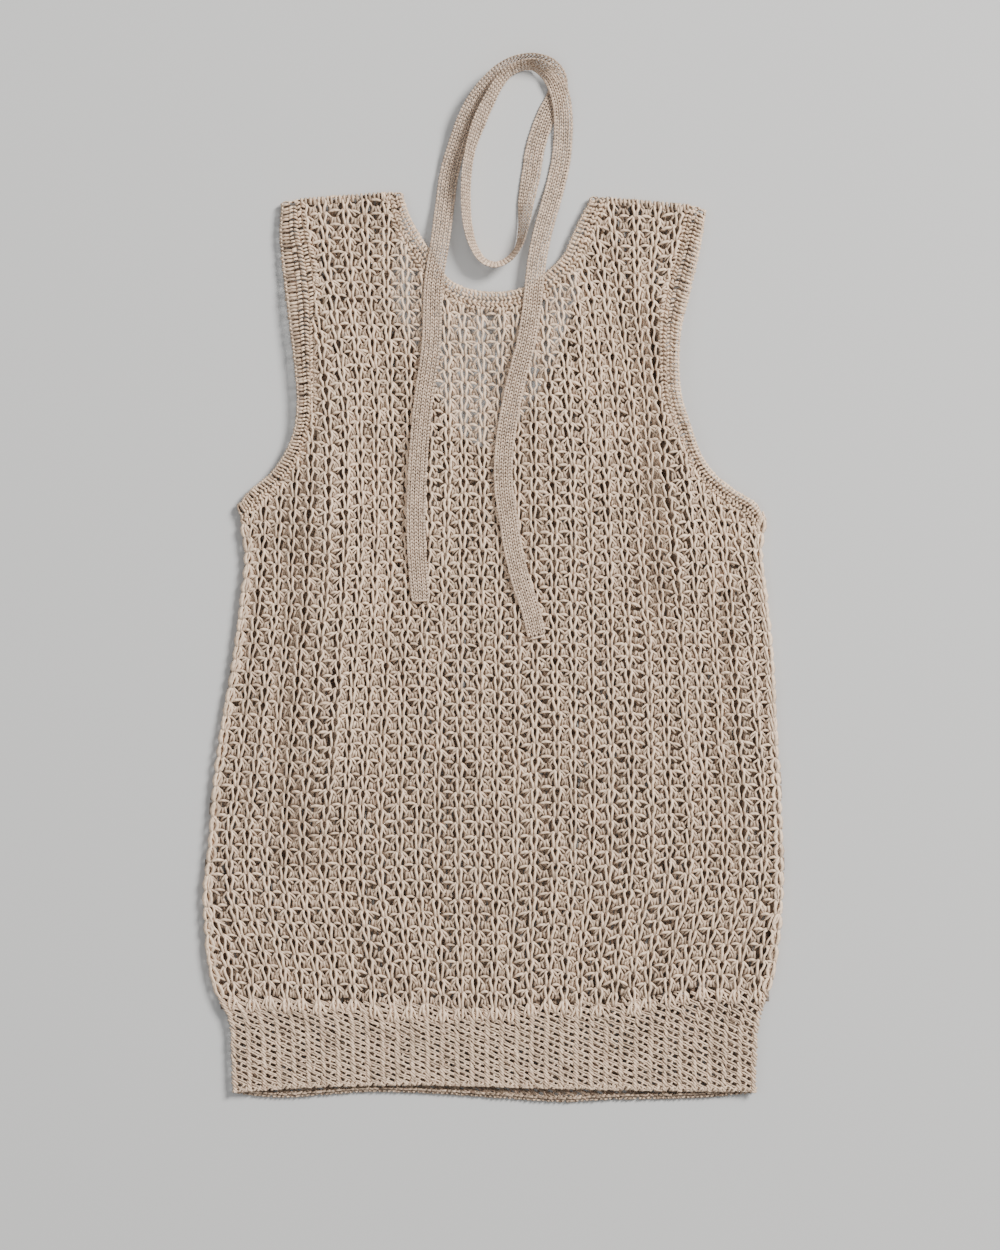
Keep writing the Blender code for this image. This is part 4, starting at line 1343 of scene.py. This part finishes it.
@dataclass
class NeckTie:
    """The narrow knitted tie with its turn above the neck and two free ends."""

    finish: bpy.types.Material
    width: float = 13.6
    thick: float = 1.6
    columns: int = 4
    row: float = 2.35
    edge: float = 0.8  # width of its two selvedges
    cloth_top: float = UPPER_BASE + 3.5  # where it lies on the vest

    def line(self) -> dict[str, Array]:
        """Lays the tie's middle line.

        Returns:
            Places along, centre points, ways across and ways out of the face.
        """
        steps = np.hypot(np.diff(TIE["x"]), np.diff(TIE["h"]))
        along = np.concatenate(((0.0,), np.cumsum(steps)))
        s = np.linspace(0, along[-1], 900)
        middle = np.stack([curve_at(along, TIE[key], s) for key in ("x", "h")], 1)
        tilt, on_cloth, over = (np.interp(s, along, TIE[key]) for key in ("tilt", "on_cloth", "over"))
        sine, cosine = np.sin(np.radians(tilt))[:, None], np.cos(np.radians(tilt))[:, None]
        heading = unit(np.gradient(middle, axis=0))
        outward = np.stack((-heading[:, 1], heading[:, 0]), 1)
        half = self.width / 2
        lifts = np.max([fold_lift(middle + outward * half * side) for side in (-1, 0, 1)], 0)
        low = (on_cloth * (self.cloth_top + lifts) + over)[:, None]
        z = low + half * sine + self.thick / 2 * cosine
        return {
            "along": s,
            "centre": np.concatenate((middle, z), 1),
            "across": np.concatenate((outward * cosine, sine), 1),
            "face": np.concatenate((-outward * sine, cosine), 1),
        }

    def strand(
        self, yarn: Strands, line: dict[str, Array], start: Array, form: StrandForm
    ) -> None:
        """Adds one strand of every stitch, with its points along and across in millimetres.

        Args:
            yarn: Where the strands go.
            line: The tie's middle line.
            start: Where each stitch stands along it.
            form: The strand's kind.
        """
        points = np.array(form.points)
        end = line["along"][-1]
        at = np.clip(start[:, None] + points[:, 0], 0.3, end - 0.3)
        near = np.minimum(at, end - at)
        narrow = 1 - 0.2 * np.exp(-near / 1.6)  # the two ends are drawn in
        side = points[:, 1] * narrow + yarn.draw.normal(0, 0.05, at.shape)
        out = points[:, 2] + yarn.draw.normal(0, 0.04, at.shape)
        centre, across, face = (
            read_line(at, line["along"], line[key]) for key in ("centre", "across", "face")
        )
        yarn.add(centre + across * side[..., None] + face * out[..., None], form, face)

    def build(self) -> None:
        """Builds the tie and hides the solid that it replaces."""
        draw = np.random.default_rng(SEED + 7)
        yarn = Strands(draw, shade=0.36)
        line = self.line()
        length, rim = float(line["along"][-1]), self.width / 2
        rows = np.arange(0.6, length - 1.2, self.row)
        inner = self.width - 2 * self.edge
        for column in range(self.columns):
            mid = (column + 0.5) * inner / self.columns - inner / 2
            offset = draw.uniform(-0.4, 0.4)
            for sign in (-1, 1):
                leg = ((-1.1, mid + sign * 0.3, 0.05), (0.2, mid + sign * 0.85, 0.28),
                       (1.3, mid + sign * 1.2, -0.25))
                self.strand(yarn, line, rows + offset, StrandForm(leg, 0.62, 0.4, 0.85, 4))
        for sign in (-1, 1):
            edge = ((-1.2, sign * (rim - 1.1), 0.1), (0.2, sign * (rim - 0.65), 0.0),
                    (1.3, sign * (rim - 1.1), -0.1))
            self.strand(yarn, line, rows, StrandForm(edge, 0.6, 0.4, 0.75, 4))
        rim -= 0.9
        for end, way in ((0.5, -1), (length - 0.5, 1)):
            close = ((0.0, -rim, 0.0), (way * 0.4, -rim / 2, 0.3), (way * 0.5, 0.0, 0.3),
                     (way * 0.4, rim / 2, 0.3), (0.0, rim, 0.0))
            self.strand(yarn, line, np.array((end,)), StrandForm(close, 0.75, 0.5, 0.9, 4))
        piece = yarn.build("yarn_tie", self.finish)
        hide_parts("neck_tie")


@dataclass
class Studio:
    """Plain pale floor, soft light from the upper right, and the camera straight above."""

    view_height: float = 0.856  # metres of the photograph's frame, top to bottom
    centre: tuple[float, float] = (0.00445, -0.03215)
    distance: float = 2.0
    sensor: float = 36.0
    floor_half: float = 4.0
    floor_drop: float = 0.0004  # how far the floor lies under the vest
    floor_colour: tuple[float, float, float, float] = (0.57, 0.56, 0.54, 1)
    sky_colour: tuple[float, float, float, float] = (0.93, 0.96, 1.0, 1)
    sky_strength: float = 0.45

    def floor(self) -> None:
        """Lays the floor just under the vest."""
        mesh = bpy.data.meshes.new("floor")
        corners = np.array(((-1, -1, 0), (1, -1, 0), (1, 1, 0), (-1, 1, 0))) * self.floor_half
        mesh.from_pydata((corners - (0, 0, self.floor_drop)).tolist(), [], [(0, 1, 2, 3)])
        r = Recipe("pale_floor")
        r.shader.inputs["Base Color"].default_value = self.floor_colour
        r.shader.inputs["Roughness"].default_value = 0.9
        mesh.materials.append(r.material)
        obj = bpy.data.objects.new("floor", mesh)
        bpy.context.scene.collection.objects.link(obj)

    def lamp(self, name: str, place: tuple[float, float, float], size: float, power: float) -> None:
        """Hangs a soft lamp that faces the vest.

        Args:
            name: Its name.
            place: Where it hangs, in metres.
            size: How wide it is.
            power: Its power in watts.
        """
        data = bpy.data.lights.new(name, "AREA")
        data.shape = "DISK"
        data.size = size
        data.energy = power
        obj = bpy.data.objects.new(name, data)
        obj.location = place
        x, y, z = place
        obj.rotation_euler = (math.atan2(math.hypot(x, y), z), 0, math.atan2(x, -y))
        bpy.context.scene.collection.objects.link(obj)

    def camera(self) -> None:
        """Sets the camera straight above the vest."""
        data = bpy.data.cameras.new("camera")
        data.sensor_width = self.sensor
        data.lens = self.sensor * self.distance / self.view_height
        obj = bpy.data.objects.new("camera", data)
        obj.location = (*self.centre, self.distance)
        bpy.context.scene.collection.objects.link(obj)
        bpy.context.scene.camera = obj

    def build(self) -> None:
        """Sets up floor, lamps, sky and camera."""
        self.floor()
        self.lamp("window", (3.0, 2.3, 3.0), 1.7, 447)
        self.lamp("fill", (-1.2, -0.4, 2.2), 1.6, 8)
        world = bpy.data.worlds.new("sky")
        world.use_nodes = True
        sky = world.node_tree.nodes["Background"]
        sky.inputs["Color"].default_value = self.sky_colour
        sky.inputs["Strength"].default_value = self.sky_strength
        bpy.context.scene.world = world
        self.camera()


def lower_arm(band: dict[str, Array], inward: float = 2.0, lower: float = 1.0) -> dict[str, Array]:
    """Moves an armhole of the back a little in, as the front's, so that it stays hidden.

    Args:
        band: The back's band.
        inward: How far it moves towards the middle.
        lower: How far its underarm moves down.

    Returns:
        The front's band.
    """
    moved = {key: values.copy() for key, values in band.items()}
    towards = 1 if band["free_x"][0] < 0 else -1
    for key in ("free_x", "panel_x"):
        moved[key][1:-1] += towards * inward
    for key in ("free_h", "panel_h"):
        moved[key][1:4] -= lower
    return moved


def main() -> None:
    """Builds the vest piece by piece, then the studio."""
    logging.basicConfig(level=logging.INFO, format="%(name)s: %(message)s")
    body = YarnFinish("body_yarn", (0.96, 0.715, 0.505, 1), (0.1, 0.06, 0.034, 1),
                      (0.76, 0.47, 0.33, 1)).make()
    rib = YarnFinish("rib_yarn", (0.89, 0.66, 0.464, 1), (0.085, 0.05, 0.028, 1),
                     (0.76, 0.47, 0.33, 1)).make()
    edging = YarnFinish("band_yarn", (0.95, 0.7, 0.485, 1), (0.09, 0.052, 0.029, 1),
                        (0.76, 0.46, 0.31, 1)).make()
    strap = YarnFinish("tie_yarn", (0.9, 0.68, 0.5, 1), (0.12, 0.074, 0.044, 1),
                       (0.72, 0.49, 0.36, 1), twist_pitch=1.8).make()
    arms = (lower_arm(LEFT_ARM), lower_arm(RIGHT_ARM))
    front = (ClothPart("yarn_front", range(1, 99), (0.395, 0.556), 0.157),)
    Openwork(Layer.LOWER, arms, FRONT_NECK, FRONT_CELL, body, "front_panel", front).build()
    back = (
        ClothPart("yarn_back_low", range(1, 18), (0.397, 0.174), 0.0688),
        ClothPart("yarn_back_mid", range(18, 36), (0.378, 0.171), 0.0614),
        ClothPart("yarn_back_top", range(36, 99), (0.26, 0.207), 0.0419),
    )
    Openwork(Layer.UPPER, (LEFT_ARM, RIGHT_ARM), BACK_NECK, BACK_CELL, body, "back_panel",
             back).build()
    HemRib(Layer.LOWER, FRONT_HEM, rib, (0.362, 0.075), 0.0231).build()
    HemRib(Layer.UPPER, BACK_HEM, rib, (0.364, 0.068), 0.0215, inset=0.0).build()
    # The armhole bands' edge tones are painted light: the left band's outer edge darker and the right
    # band's lighter, as the light falls from the right
    EdgeBand("yarn_armhole_left", "armhole_band_left", LEFT_ARM, arms[0], edging,
             (0.53, 0.018), 0.0075, stitch=2.6, edge_tone_and_light=0.68).build()
    EdgeBand("yarn_armhole_right", "armhole_band_right", RIGHT_ARM, arms[1], edging,
             (0.53, 0.0155), 0.0067, stitch=2.75, edge_tone_and_light=0.95, inner_tone_and_light=0.86).build()
    EdgeBand("yarn_neckband", "neckband", BACK_NECK, FRONT_NECK, edging,
             (0.63, 0.0125), 0.0077, rim=0.3, lean=1.2, inner_tone_and_light=0.85).build()
    NeckTie(strap).build()
    Studio().build()


if __name__ == "__main__":
    main()
